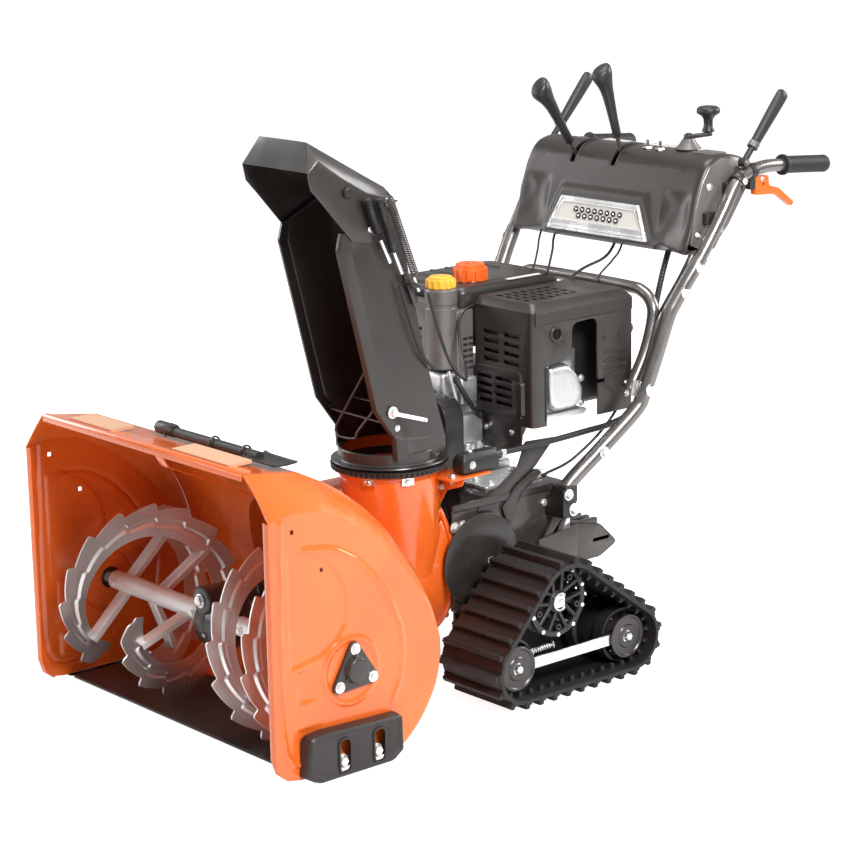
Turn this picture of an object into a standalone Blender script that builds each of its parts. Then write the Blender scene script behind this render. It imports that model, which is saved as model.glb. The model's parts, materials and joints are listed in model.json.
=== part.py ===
"""Tracked two-stage snow blower, 0.78 m wide: auger housing, chute, engine, tracks and console.

Metres, +Z up. The machine throws snow forward, towards -Y, and its left side is +X. Shapes are
placed from the machine's own datum, which is on the ground 0.30 m behind the housing's front
edge. The empty "datum" moves it, so that the origin is under the centre of the whole machine.
"""
import math

import bmesh
import bpy
from mathutils import Matrix, Vector

# ---------------------------------------------------------------- driving dimensions
DATUM_Y = -0.4722             # datum to the centre of the machine's length
GAP = 0.0004                  # between solids that touch
SHEET = 0.003                 # sheet metal

HOUSING_HALF = 0.390          # auger housing, outer face of a side plate
HOUSING_FRONT = -0.300
BARREL_HALF = 0.376           # the barrel's half width low down, where the side plates are flat
LIP_HALF = 0.3215             # half width of the housing's top lip
AUGER = (-0.123, 0.187)       # y and z of the auger axis
AUGER_RADIUS = 0.180
AUGER_PITCH = 0.2025
SHAFT_RADIUS = 0.012

FAN_Z = 0.236                 # height of the impeller shaft
FAN_RADIUS = 0.170
FAN_REAR = 0.302
CHUTE_X, CHUTE_Y = 0.075, 0.229
RING_Z = 0.440                # underside of the chute ring
RING_RADIUS = 0.115
NECK_RADIUS = 0.098
HOOD_PIVOT = (0.172, 0.985)   # y and z of the deflector's hinge

CRANK_Z = 0.475               # height of the engine's crankshaft
BELT_Y = 0.370                # plane of the drive belt
ENGINE_PULLEY = 0.032         # groove radii of the two pulleys
FAN_PULLEY = 0.081

SPROCKET = (0.420, 0.184)     # y and z of the track's three axes
FRONT_WHEEL = (0.300, 0.078)
REAR_WHEEL = (0.592, 0.078)
SPROCKET_RADIUS = 0.073
WHEEL_RADIUS = 0.056
BELT_THICK = 0.008
LUG_HEIGHT = 0.0132
LUGS = 30
TRACK_X = (0.2125, 0.385)

TUBE_RADIUS = 0.0155
HANDLE_X = 0.2835
CONSOLE_HALF = 0.258
CONSOLE_WALL = 0.004
SPEED_PIVOT = (0.948, 0.915)
HOOD_LEVER_PIVOT = (0.946, 0.924)
CRANK_HANDLE = (0.150, 0.978)
KNOB_REACH = 0.058
CLUTCH_PIVOT = (0.999, 0.969)
TRIGGER_PIVOT = (1.048, 0.931)

FINISHES = {
    "orange_paint": ((0.86, 0.20, 0.02), 0.30, 0.0),
    "black_paint": ((0.020, 0.019, 0.019), 0.40, 0.0),
    "grey_paint": ((0.19, 0.17, 0.16), 0.45, 0.0),
    "bare_steel": ((0.48, 0.46, 0.45), 0.35, 0.9),
    "cast_alloy": ((0.62, 0.62, 0.63), 0.40, 0.9),
    "black_plastic": ((0.045, 0.040, 0.038), 0.45, 0.0),
    "grey_plastic": ((0.22, 0.20, 0.20), 0.50, 0.0),
    "orange_plastic": ((0.88, 0.22, 0.04), 0.40, 0.0),
    "yellow_plastic": ((0.90, 0.62, 0.10), 0.40, 0.0),
    "rubber": ((0.025, 0.022, 0.021), 0.75, 0.0),
}


# ---------------------------------------------------------------- scene and helpers
for leftover in list(bpy.data.objects):
    bpy.data.objects.remove(leftover, do_unlink=True)
PARTS = bpy.data.collections.new("snow_blower")
bpy.context.scene.collection.children.link(PARTS)
DATUM = bpy.data.objects.new("datum", None)
DATUM.location = (0, DATUM_Y, 0)
PARTS.objects.link(DATUM)
MATERIALS = {}


def material(finish):
    """The Principled material of a finish, made once."""
    if finish not in MATERIALS:
        colour, roughness, metallic = FINISHES[finish]
        made = bpy.data.materials.new(finish)
        made.use_nodes = True
        shader = made.node_tree.nodes["Principled BSDF"]
        shader.inputs["Base Color"].default_value = (*colour, 1)
        shader.inputs["Roughness"].default_value = roughness
        shader.inputs["Metallic"].default_value = metallic
        MATERIALS[finish] = made
    return MATERIALS[finish]


def solid(shape, turn_out=True):
    """An object from a bmesh, its faces turned to point out unless they already do."""
    if turn_out:
        bmesh.ops.recalc_face_normals(shape, faces=shape.faces[:])
    mesh = bpy.data.meshes.new("shape")
    shape.to_mesh(mesh)
    shape.free()
    made = bpy.data.objects.new("shape", mesh)
    PARTS.objects.link(made)
    return made


def bake(source, turn_out=False):
    """A plain mesh object of what a curve or an object's modifiers make, with its caps welded."""
    bpy.context.view_layer.update()
    graph = bpy.context.evaluated_depsgraph_get()
    shape = bmesh.new()
    shape.from_mesh(bpy.data.meshes.new_from_object(source.evaluated_get(graph)))
    bmesh.ops.transform(shape, matrix=source.matrix_world, verts=shape.verts[:])
    bmesh.ops.remove_doubles(shape, verts=shape.verts[:], dist=0.00001)
    bpy.data.objects.remove(source, do_unlink=True)
    return solid(shape, turn_out)


def box(low, high, bevel=0.0):
    """A box between two corners, with chamfered edges where bevel is stated."""
    low, high = Vector(low), Vector(high)
    shape = bmesh.new()
    place = Matrix.Translation((low + high) / 2) @ Matrix.Diagonal((*(high - low), 1))
    bmesh.ops.create_cube(shape, size=1, matrix=place)
    if bevel:
        bmesh.ops.bevel(shape, geom=shape.edges[:], offset=bevel, segments=1, affect="EDGES")
    return solid(shape)


def rod(start, end, radius, end_radius=None, sides=16):
    """A round bar or a cone between two points."""
    start, end = Vector(start), Vector(end)
    along = end - start
    place = Matrix.Translation((start + end) / 2) @ along.to_track_quat("Z", "Y").to_matrix().to_4x4()
    shape = bmesh.new()
    bmesh.ops.create_cone(shape, cap_ends=True, segments=sides, radius1=radius,
                          radius2=radius if end_radius is None else end_radius,
                          depth=along.length, matrix=place)
    return solid(shape)


def turned(profile, start, direction, sides=20):
    """A turned solid: (radius, distance along the axis) points, screwed round the axis."""
    shape = bmesh.new()
    rim = [shape.verts.new((radius, 0, along)) for radius, along in reversed(profile)]
    for one, two in zip(rim, rim[1:]):
        shape.edges.new((one, two))
    if profile[0][0] > 0:
        shape.edges.new((rim[-1], rim[0]))
    made = solid(shape)
    made.matrix_world = (Matrix.Translation(start)
                         @ Vector(direction).to_track_quat("Z", "Y").to_matrix().to_4x4())
    screw = made.modifiers.new("turn", "SCREW")
    screw.steps = screw.render_steps = sides
    screw.use_merge_vertices = True
    screw.merge_threshold = 0.00001
    return bake(made, turn_out=True)


PLANES = {                      # where an outline's first, second and thickness directions point
    "X": Matrix(((0, 0, 1, 0), (1, 0, 0, 0), (0, 1, 0, 0), (0, 0, 0, 1))),
    "Y": Matrix(((1, 0, 0, 0), (0, 0, -1, 0), (0, 1, 0, 0), (0, 0, 0, 1))),
    "Z": Matrix.Identity(4),
}


def plate(outline, axis, low, high, holes=()):
    """A flat outline, with holes, as a solid from low to high along an axis."""
    curve = bpy.data.curves.new("outline", "CURVE")
    curve.dimensions = "2D"
    curve.fill_mode = "BOTH"
    curve.extrude = abs(high - low) / 2
    for loop in (outline, *holes):
        spline = curve.splines.new("POLY")
        spline.points.add(len(loop) - 1)
        for point, (across, up) in zip(spline.points, loop):
            point.co = (across, up, 0, 1)
        spline.use_cyclic_u = True
    made = bpy.data.objects.new("outline", curve)
    PARTS.objects.link(made)
    middle = (low + high) / 2
    offset = {"X": (middle, 0, 0), "Y": (0, middle, 0), "Z": (0, 0, middle)}[axis]
    made.matrix_world = Matrix.Translation(offset) @ PLANES[axis]
    return bake(made, turn_out=True)


def tube(points, radius, resolution=2):
    """A bar, wire or cable along points, as a curve with a round bevel and filled caps."""
    curve = bpy.data.curves.new("wire", "CURVE")
    curve.dimensions = "3D"
    curve.bevel_depth = radius
    curve.bevel_resolution = resolution
    curve.use_fill_caps = True
    spline = curve.splines.new("POLY")
    spline.points.add(len(points) - 1)
    for point, place in zip(spline.points, points):
        point.co = (*place, 1)
    made = bpy.data.objects.new("wire", curve)
    PARTS.objects.link(made)
    return bake(made, turn_out=True)


def smooth(points, step=0.02):
    """Points about a step apart on a smooth curve through the given ones."""
    points = [Vector(point) for point in points]
    ends = [2 * points[0] - points[1], *points, 2 * points[-1] - points[-2]]
    path = []
    for before, one, two, after in zip(ends, ends[1:], ends[2:], ends[3:]):
        count = max(1, round((two - one).length / step))
        for index in range(count):
            t = index / count
            path.append(0.5 * (2 * one + (two - before) * t
                               + (2 * before - 5 * one + 4 * two - after) * t ** 2
                               + (3 * one - before - 3 * two + after) * t ** 3))
    return [*path, points[-1]]


def loft(rings):
    """A solid through closed rings of points, all with the same count, its two ends capped."""
    shape = bmesh.new()
    rows = [[shape.verts.new(point) for point in ring] for ring in rings]
    count = len(rows[0])
    for row, following in zip(rows, rows[1:]):
        for index in range(count):
            nearby = (index + 1) % count
            shape.faces.new((row[index], row[nearby], following[nearby], following[index]))
    shape.faces.new(rows[0])
    shape.faces.new(rows[-1])
    return solid(shape)


def arc(centre, radius, first, last, steps):
    """Points of an arc, its angles in degrees from the first direction to the second."""
    angles = [math.radians(first + (last - first) * step / steps) for step in range(steps + 1)]
    return [(centre[0] + radius * math.cos(angle), centre[1] + radius * math.sin(angle))
            for angle in angles]


def circle(centre, radius, steps=24):
    return arc(centre, radius, 0, 360, steps)[:-1]


def slot(centre, width, height, steps=4):
    """An upright slot with round ends."""
    reach = (height - width) / 2
    return (arc((centre[0], centre[1] + reach), width / 2, 0, 180, steps)
            + arc((centre[0], centre[1] - reach), width / 2, 180, 360, steps))


def boolean(target, others, operation):
    for other in others:
        change = target.modifiers.new("boolean", "BOOLEAN")
        change.operation = operation
        change.solver = "EXACT"
        change.object = other
    made = bake(target)
    for other in others:
        bpy.data.objects.remove(other, do_unlink=True)
    return made


def join(target, *others):
    return boolean(target, others, "UNION")


def cut(target, *others):
    return boolean(target, others, "DIFFERENCE")


def mirrored(build, *values):
    """The left and right builds of a part that takes the side, +1 or -1, as its first value."""
    for side, word in ((1, "left"), (-1, "right")):
        build(side, word, *values)


def part(name, made, finish, pivot=(0, 0, 0), round_shape=True):
    """Name a solid, give it its material, and put its origin on its joint's axis."""
    made.name = made.data.name = name
    made.data.materials.clear()
    made.data.materials.append(material(finish))
    made.data.transform(Matrix.Translation(-Vector(pivot)))
    made.location = pivot
    made.parent = DATUM
    if round_shape:
        made.data.shade_smooth()
        made.data.set_sharp_from_angle(angle=math.radians(35))
    return made


# ---------------------------------------------------------------- auger housing
def barrel_edge(steps_top=9, steps_low=7):
    """The barrel's outer profile in (y, z), from the top lip round the back to the bottom."""
    return ([(HOUSING_FRONT, 0.563), (-0.180, 0.545)]
            + arc((-0.345, 0.139), 0.437, 62, 6, steps_top)
            + arc((-0.123, 0.184), 0.215, -6, -52, steps_low)
            + [(-0.030, 0.008)])


def flat_edge(steps_top=9, steps_low=7):
    """The outline of a side plate's flat face, point for point beside the barrel's profile."""
    return ([(HOUSING_FRONT, 0.487), (-0.252, 0.495)]
            + arc((-0.363, 0.059), 0.465, 68, 19, steps_top)
            + arc((-0.123, 0.184), 0.200, 0, -58, steps_low)
            + [(-0.045, 0.008)])


def barrel_half(height):
    """Half width of the barrel at a height: the side plates lean in towards the top lip."""
    share = min(1, max(0, (0.523 - height) / 0.263))
    return LIP_HALF + share * (BARREL_HALF - LIP_HALF)


def auger_housing():
    profile = [(HOUSING_FRONT, 0.551), *barrel_edge()]
    shape = bmesh.new()
    rows = []
    for y, z in profile:
        half = barrel_half(z) - SHEET - 2 * GAP
        rows.append([shape.verts.new((side * half, y, z)) for side in (-1, 1)])
    for row, following in zip(rows, rows[1:]):
        shape.faces.new((row[0], row[1], following[1], following[0]))
    for face in shape.faces:
        face.normal_update()
    mesh = bpy.data.meshes.new("barrel")
    shape.to_mesh(mesh)
    shape.free()
    barrel = bpy.data.objects.new("barrel", mesh)
    PARTS.objects.link(barrel)
    skin = barrel.modifiers.new("sheet", "SOLIDIFY")
    skin.thickness = SHEET
    skin.offset = -1
    barrel = bake(barrel, turn_out=True)
    mouth = rod((0, -0.06, FAN_Z), (0, 0.14, FAN_Z), FAN_RADIUS - SHEET, sides=32)
    part("auger_housing", cut(barrel, mouth), "orange_paint")


def side_plate(side, word):
    """A pressed side plate: a flat face, and a band that leans in to the barrel's edge."""
    outer = [(barrel_half(z) * side, y, z) for y, z in barrel_edge()]
    inner = [(HOUSING_HALF * side, y, z) for y, z in flat_edge()]
    foot = [(-0.245, 0.008), (-0.272, 0.013), (-0.291, 0.028), (HOUSING_FRONT, 0.055)]
    shape = bmesh.new()
    one = [shape.verts.new(point) for point in outer]
    two = [shape.verts.new(point) for point in inner]
    for index in range(len(one) - 1):
        shape.faces.new((one[index], one[index + 1], two[index + 1], two[index]))
    shape.faces.new(two + [shape.verts.new((HOUSING_HALF * side, y, z)) for y, z in foot])
    bmesh.ops.recalc_face_normals(shape, faces=shape.faces[:])
    flat = max(shape.faces, key=lambda face: face.calc_area())
    if flat.normal.x * side < 0:
        bmesh.ops.reverse_faces(shape, faces=shape.faces[:])
    mesh = bpy.data.meshes.new("side")
    shape.to_mesh(mesh)
    shape.free()
    made = bpy.data.objects.new("side", mesh)
    PARTS.objects.link(made)
    skin = made.modifiers.new("sheet", "SOLIDIFY")
    skin.thickness = SHEET
    skin.offset = -1
    made = bake(made, turn_out=True)
    bore = rod((side * 0.37, *AUGER), (side * 0.41, *AUGER), 0.022)
    part(f"side_plate_{word}", cut(made, bore), "orange_paint", round_shape=False)


def skid_shoe(side, word):
    """A pressed steel runner: a shallow pan against the side plate, with a turned-up sole."""
    outline = [(-0.251, 0.016), (-0.223, 0), (-0.052, 0), (-0.028, 0.016), (-0.030, 0.086),
               (-0.205, 0.093), (-0.244, 0.090)]
    pocket = [(-0.244, 0.019), (-0.220, 0.006), (-0.056, 0.006), (-0.035, 0.019),
              (-0.037, 0.080), (-0.205, 0.087), (-0.238, 0.084)]
    inside, wall, outside = (side * value for value in (HOUSING_HALF + GAP, 0.413, 0.418))
    body = plate(outline, "X", inside, outside)
    pan = plate(pocket, "X", inside - side * 0.01, wall)
    slots = [plate(slot((y, 0.040), 0.016, 0.046), "X", wall - side * 0.01, outside + side * 0.01)
             for y in (-0.166, -0.087)]
    part(f"skid_shoe_{word}", cut(body, pan, *slots), "black_paint", round_shape=False)


def bearing_flange(side, word):
    """The auger shaft's end bearing: a three-bolt plate and a capped hub."""
    y, z = AUGER
    corners = [(y + 0.004, z + 0.052), (y - 0.052, z - 0.034), (y + 0.050, z - 0.028)]
    outline = []
    for corner, first in zip(corners, (20, 140, 260)):
        outline += arc(corner, 0.014, first, first + 120, 3)
    inside = side * (HOUSING_HALF + GAP)
    body = join(plate(outline, "X", inside, side * 0.397), rod((inside, y, z), (side * 0.410, y, z), 0.030))
    bore = rod((side * 0.38, y, z), (side * 0.403, y, z), SHAFT_RADIUS + GAP)
    part(f"bearing_flange_{word}", cut(body, bore), "black_paint")


# ---------------------------------------------------------------- augers and impeller
def ribbon(side, phase, outer_x, inner_x):
    """A helical strip that winds from the housing's side towards the gearbox."""
    steps = 20
    rings = []
    for step in range(steps + 1):
        x = outer_x + (inner_x - outer_x) * step / steps
        angle = math.radians(phase) + 2 * math.pi * (outer_x - x) / AUGER_PITCH
        ring = []
        for radius, shift in ((0.126, -0.002), (AUGER_RADIUS, -0.002), (AUGER_RADIUS, 0.002), (0.126, 0.002)):
            ring.append((side * (x + shift), AUGER[0] - radius * math.cos(angle),
                         AUGER[1] + radius * math.sin(angle)))
        rings.append(ring)
    return loft(rings)


def spoke(side, phase, outer_x, x):
    """A flat bar from the hub tube out to the ribbon that passes at x."""
    angle = math.radians(phase) + 2 * math.pi * (outer_x - x) / AUGER_PITCH
    bar = box((-0.014, 0.014, -0.003), (0.014, 0.134, 0.003))
    bar.matrix_world = (Matrix.Translation((side * x, *AUGER))
                        @ Matrix.Rotation(math.pi - angle, 4, "X"))
    return bake(bar)


def auger(side, word):
    """A hub tube with a long serrated ribbon and, opposite its outer end, a short one, on flat spokes."""
    long_phase, short_phase = (110, -70) if side > 0 else (-70, 110)
    hub = rod((side * 0.052, *AUGER), (side * 0.366, *AUGER), 0.019)
    pieces = []
    for phase, inner_x, spots in ((long_phase, 0.090, (0.320, 0.212, 0.104)),
                                  (short_phase, 0.242, (0.320, 0.257))):
        pieces.append(ribbon(side, phase, 0.335, inner_x))
        pieces += [spoke(side, phase, 0.335, x) for x in spots]
    bore = rod((side * 0.04, *AUGER), (side * 0.38, *AUGER), SHAFT_RADIUS + GAP)
    made = cut(join(hub, *pieces), bore)
    part(f"auger_{word}", made, "bare_steel", pivot=(0, *AUGER))


def auger_shaft():
    shaft = rod((-0.402, *AUGER), (0.402, *AUGER), SHAFT_RADIUS)
    part("auger_shaft", shaft, "bare_steel", pivot=(0, *AUGER))


def auger_gearbox():
    """The worm gear case between the augers, with the impeller shaft's snout above and behind."""
    y, z = AUGER
    wheel_case = turned([(0, -0.044), (0.030, -0.044), (0.052, -0.026), (0.052, 0.026),
                         (0.030, 0.044), (0, 0.044)], (0, y, z), (1, 0, 0), sides=16)
    worm_case = rod((0, -0.175, FAN_Z), (0, -0.030, FAN_Z), 0.027)
    made = join(wheel_case, worm_case)
    made = cut(made, rod((-0.06, y, z), (0.06, y, z), SHAFT_RADIUS + GAP),
               rod((0, -0.160, FAN_Z), (0, 0, FAN_Z), 0.010 + GAP))
    part("auger_gearbox", made, "black_paint")


def impeller():
    """Four paddles on a hub, which throw the snow up the neck."""
    hub = rod((0, 0.130, FAN_Z), (0, 0.270, FAN_Z), 0.022)
    paddles = []
    for turn in range(4):
        paddle = box((0.012, -0.070, -0.003), (0.160, 0.070, 0.003))
        tip = box((0.140, -0.070, -0.003), (0.160, 0.070, 0.015))
        paddle = join(paddle, tip)
        paddle.matrix_world = (Matrix.Translation((0, 0.200, FAN_Z))
                               @ Matrix.Rotation(turn * math.pi / 2 + 0.5, 4, "Y"))
        paddles.append(bake(paddle))
    bore = rod((0, 0.1, FAN_Z), (0, 0.3, FAN_Z), 0.010 + GAP)
    part("impeller", cut(join(hub, *paddles), bore), "bare_steel", pivot=(0, 0.2, FAN_Z))


def groove(radius):
    """Half profile of a V-belt pulley, (radius, distance) from its front face to its back."""
    return [(0, -0.010), (radius + 0.009, -0.010), (radius + 0.009, -0.008), (radius, -0.0055),
            (radius, 0.0055), (radius + 0.009, 0.008), (radius + 0.009, 0.010), (0, 0.010)]


def impeller_shaft():
    shaft = rod((0, -0.155, FAN_Z), (0, 0.3995, FAN_Z), 0.010)
    pulley = turned(groove(FAN_PULLEY), (0, BELT_Y, FAN_Z), (0, 1, 0), sides=20)
    part("impeller_shaft", join(shaft, pulley), "bare_steel", pivot=(0, 0.2, FAN_Z))


def fan_housing():
    """The impeller's drum, its rear flange, the tangential outlet neck and the gear bracket."""
    drum = rod((0, -0.05, FAN_Z), (0, FAN_REAR + 0.006, FAN_Z), FAN_RADIUS, sides=32)
    flange = rod((0, FAN_REAR, FAN_Z), (0, FAN_REAR + 0.006, FAN_Z), 0.179, sides=32)
    neck = rod((CHUTE_X, CHUTE_Y, FAN_Z), (CHUTE_X, CHUTE_Y, RING_Z - GAP), NECK_RADIUS, sides=32)
    shelf = plate([(0.135, 0.265), (0.215, 0.265), (0.215, 0.372), (0.175, 0.372), (0.150, 0.330),
                   (0.120, 0.310)], "Z", 0.424, 0.428)
    made = join(drum, flange, neck, shelf)
    hollow = rod((0, -0.06, FAN_Z), (0, FAN_REAR, FAN_Z), FAN_RADIUS - SHEET, sides=32)
    bore = rod((CHUTE_X, CHUTE_Y, FAN_Z), (CHUTE_X, CHUTE_Y, RING_Z + 0.01), NECK_RADIUS - SHEET,
               sides=32)
    shaft_hole = rod((0, 0.29, FAN_Z), (0, 0.32, FAN_Z), 0.013)
    plug = [(y + 3 * GAP, z) for y, z in barrel_edge()]
    plug = [(-0.5, 0.62), (-0.3, 0.62), *plug[1:], (-0.5, 0)]
    made = cut(made, hollow, bore, shaft_hole, plate(plug, "X", -0.5, 0.5))
    part("fan_housing", made, "orange_paint")


# ---------------------------------------------------------------- chute
def chute_ring():
    ring = turned([(0.094, 0), (RING_RADIUS, 0), (RING_RADIUS, 0.010), (0.104, 0.016),
                   (0.094, 0.016)], (CHUTE_X, CHUTE_Y, RING_Z), (0, 0, 1), sides=28)
    part("chute_ring", ring, "black_plastic")


def chute():
    """A three-sided duct on a round collar, open at the front, leaning forward."""
    low, high = CHUTE_X - 0.095, CHUTE_X + 0.095
    outline = [(0.169, 0.517), (0.123, 0.579), (0.046, 0.891), (0.054, 0.921), (0.158, 0.972),
               (0.184, 0.972), (0.249, 0.672), (0.300, 0.500), (0.300, 0.472), (0.175, 0.472)]
    inner = [(0.10, 0.45), (-0.1, 0.55), (-0.1, 1.2), (0.155, 1.2), (0.1810, 0.972),
             (0.2460, 0.672), (0.2970, 0.500), (0.2970, 0.45)]
    foot = RING_Z + 0.016 + GAP
    collar = rod((CHUTE_X, CHUTE_Y, foot), (CHUTE_X, CHUTE_Y, 0.484), 0.100, sides=28)
    made = cut(plate(outline, "X", low, high), plate(inner, "X", low + SHEET, high - SHEET))
    made = cut(join(made, collar),
               rod((CHUTE_X, CHUTE_Y, foot - 0.01), (CHUTE_X, CHUTE_Y, 0.50), 0.092, sides=28))
    part("chute", made, "black_paint", pivot=(CHUTE_X, CHUTE_Y, foot), round_shape=False)


def deflector():
    """The hood: a folded top plate with a side panel outside each wall of the chute."""
    low, high = CHUTE_X - 0.0995, CHUTE_X + 0.0995
    outline = [(-0.020, 1.011), (-0.026, 1.042), (-0.005, 1.095), (0.165, 0.997), (0.172, 0.980),
               (0.119, 0.898), (0.073, 0.906)]
    inner = [(-0.2, 1.0), (-0.2, 1.092), (-0.006, 1.092), (0.167, 0.992), (0.3, 0.99), (0.3, 0.8),
             (-0.2, 0.8)]
    made = cut(plate(outline, "X", low, high), plate(inner, "X", low + SHEET, high - SHEET))
    part("deflector", made, "black_paint", pivot=(CHUTE_X, *HOOD_PIVOT), round_shape=False)


def deflector_spring():
    """The pull-back spring beside the chute, as a plain round solid of its coil's size."""
    x = CHUTE_X + 0.114
    spring = rod((x, 0.196, 0.905), (x, 0.243, 0.795), 0.009)
    hook = tube([(x, 0.199, 0.897), (x, 0.190, 0.925)], 0.0025)
    part("deflector_spring", join(spring, hook), "bare_steel")


def chute_gear():
    """The gear case that turns the chute, with the sleeve that takes the flexible shaft."""
    case = box((0.172, 0.304, RING_Z - 0.010), (0.208, 0.398, RING_Z + 0.028), bevel=0.004)
    sleeve = rod((0.190, 0.39, RING_Z + 0.012), (0.190, 0.425, RING_Z + 0.012), 0.009)
    part("chute_gear", join(case, sleeve), "black_plastic")


def crank_cable():
    """The flexible shaft from the console's crank to the chute's gear case."""
    route = [(0.190, 0.4256, 0.452), (0.191, 0.480, 0.452), (0.193, 0.560, 0.454), (0.193, 0.640, 0.457),
             (0.193, 0.715, 0.461), (0.190, 0.772, 0.478), (0.182, 0.812, 0.530), (0.175, 0.840, 0.610),
             (0.172, 0.864, 0.690), (0.168, 0.895, 0.770), (0.158, 0.945, 0.850), (0.150, 0.975, 0.910),
             (0.150, 0.978, 0.930), (0.150, 0.978, 0.948)]
    part("crank_cable", tube(smooth(route, 0.040), 0.0050), "rubber")


def deflector_cable():
    """The hood's control cable: down the chute, a slack loop, and back past the engine."""
    route = [(0.186, 0.242, 0.790), (0.188, 0.262, 0.720), (0.190, 0.290, 0.650), (0.168, 0.345, 0.605),
             (0.118, 0.390, 0.612), (0.062, 0.425, 0.650), (0.0285, 0.462, 0.700), (0.0265, 0.540, 0.715),
             (0.0265, 0.700, 0.715), (0.020, 0.800, 0.745), (0.010, 0.885, 0.765), (0.003, 0.930, 0.825),
             (0.000, 0.944, 0.880), (0.000, 0.946, 0.910)]
    part("deflector_cable", tube(smooth(route, 0.040), 0.0030), "rubber")


# ---------------------------------------------------------------- engine
def engine_block():
    """Crankcase, cylinder and the recoil starter's round case on its back."""
    case = box((-0.120, 0.408, 0.3705), (0.022, 0.600, 0.585))
    base = box((-0.130, 0.420, 0.3615), (0.028, 0.590, 0.380))
    barrel = box((0.010, 0.535, 0.495), (0.158, 0.655, 0.610))
    fins = [box((x, 0.528, 0.489), (x + 0.004, 0.662, 0.617)) for x in (0.060, 0.080, 0.100, 0.120)]
    starter = turned([(0, 0), (0.096, 0), (0.096, 0.030), (0.070, 0.052), (0, 0.052)],
                     (-0.048, 0.595, CRANK_Z + 0.002), (0, 1, 0), sides=24)
    bore = rod((0, 0.3, CRANK_Z), (0, 0.440, CRANK_Z), 0.0128)
    rope = rod((-0.048, 0.640, 0.545), (-0.048, 0.700, 0.545), 0.005)
    part("engine_block", cut(join(case, base, barrel, *fins, starter), bore, rope), "cast_alloy")


def valve_cover():
    cover = box((0.1584, 0.545, 0.505), (0.190, 0.645, 0.602), bevel=0.010)
    part("valve_cover", cover, "cast_alloy")


def engine_cover():
    """The heated cover over the cylinder and carburettor: a shell, open inwards and below."""
    body = box((0.031, 0.4925, 0.487), (0.200, 0.770, 0.732), bevel=0.010)
    chin = box((0.040, 0.4930, 0.430), (0.165, 0.4960, 0.520))
    inner = box((0.000, 0.4965, 0.450), (0.196, 0.766, 0.728), bevel=0.010)
    window = box((0.150, 0.600, 0.400), (0.250, 0.670, 0.685))
    port = box((0.150, 0.530, 0.400), (0.250, 0.620, 0.620))
    boss = rod((0.190, 0.557, 0.668), (0.2035, 0.557, 0.668), 0.022)
    boss_bore = rod((0.190, 0.557, 0.668), (0.21, 0.557, 0.668), 0.014)
    stem_hole = rod((0.150, 0.75, 0.640), (0.150, 0.80, 0.640), 0.006)
    made = cut(join(body, chin), inner, window, port)
    part("engine_cover", cut(join(made, boss), boss_bore, stem_hole), "black_plastic")


def choke_knob():
    knob = turned([(0, 0), (0.005, 0), (0.005, 0.030), (0.012, 0.034), (0.014, 0.050), (0, 0.052)],
                  (0.150, 0.755, 0.640), (0, 1, 0), sides=12)
    part("choke_knob", knob, "black_plastic", pivot=(0.150, 0.755, 0.640))


def muffler_guard():
    """The grey louvred guard in front of the tank, with the oil filler's column beside it."""
    shield = box((-0.190, 0.412, 0.590), (0.020, 0.446, 0.722), bevel=0.005)
    column = rod((0.000, 0.432, 0.590), (0.000, 0.432, 0.752), 0.033, sides=28)
    slots = [box((-0.060, 0.40, z), (-0.040, 0.420, z + 0.006)) for z in (0.61, 0.625, 0.64, 0.655)]
    slots += [box((-0.100, 0.40, z), (-0.070, 0.420, z + 0.006)) for z in (0.61, 0.625, 0.64)]
    stem = rod((0.000, 0.432, 0.735), (0.000, 0.432, 0.76), 0.014)
    part("muffler_guard", cut(join(shield, column), stem, *slots), "grey_plastic")


def fuel_tank():
    tank = box((-0.200, 0.466, 0.620), (0.019, 0.740, 0.748), bevel=0.012)
    neck = rod((-0.040, 0.545, 0.740), (-0.040, 0.545, 0.762), 0.0235)
    bore = rod((-0.040, 0.545, 0.745), (-0.040, 0.545, 0.780), 0.020)
    part("fuel_tank", cut(join(tank, neck), bore), "black_plastic")


def fuel_cap():
    """A knurled cap that closes over the tank's neck."""
    cap = turned([(0, 0.0145), (0.0244, 0.0145), (0.0244, 0), (0.034, 0), (0.036, 0.004),
                  (0.036, 0.030), (0.032, 0.034), (0, 0.034)], (-0.040, 0.545, 0.7484), (0, 0, 1), sides=16)
    part("fuel_cap", cap, "orange_plastic", pivot=(-0.040, 0.545, 0.7484))


def oil_cap():
    cap = turned([(0, -0.012), (0.0135, -0.012), (0.0135, 0), (0.030, 0), (0.031, 0.004),
                  (0.030, 0.020), (0.026, 0.023), (0, 0.023)], (0.000, 0.432, 0.7524), (0, 0, 1), sides=16)
    part("oil_cap", cap, "yellow_plastic", pivot=(0.000, 0.432, 0.7524))


def starter_handle():
    """The pull grip of the recoil starter, with the end of its cord."""
    cord = rod((-0.048, 0.644, 0.545), (-0.048, 0.662, 0.545), 0.0040)
    grip = box((-0.098, 0.656, 0.537), (0.002, 0.676, 0.553), bevel=0.005)
    part("starter_handle", join(grip, cord), "black_plastic", pivot=(-0.048, 0.656, 0.545))


def engine_pulley():
    stub = rod((0, 0.356, CRANK_Z), (0, 0.438, CRANK_Z), 0.0124)
    wheel = turned(groove(ENGINE_PULLEY), (0, BELT_Y, CRANK_Z), (0, 1, 0), sides=16)
    part("engine_pulley", join(stub, wheel), "bare_steel", pivot=(0, BELT_Y, CRANK_Z))


def belt_outline(circles, offset, steps=10):
    """The outline of a belt round circles, given anticlockwise as (y or x, z, radius)."""
    points = []
    count = len(circles)
    for index in range(count):
        before, here, after = (circles[(index + shift) % count] for shift in (-1, 0, 1))
        first = contact_angle(before, here)
        last = contact_angle(here, after)
        while last < first:
            last += 2 * math.pi
        points += arc(here[:2], here[2] + offset, math.degrees(first), math.degrees(last), steps)
    return points


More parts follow.
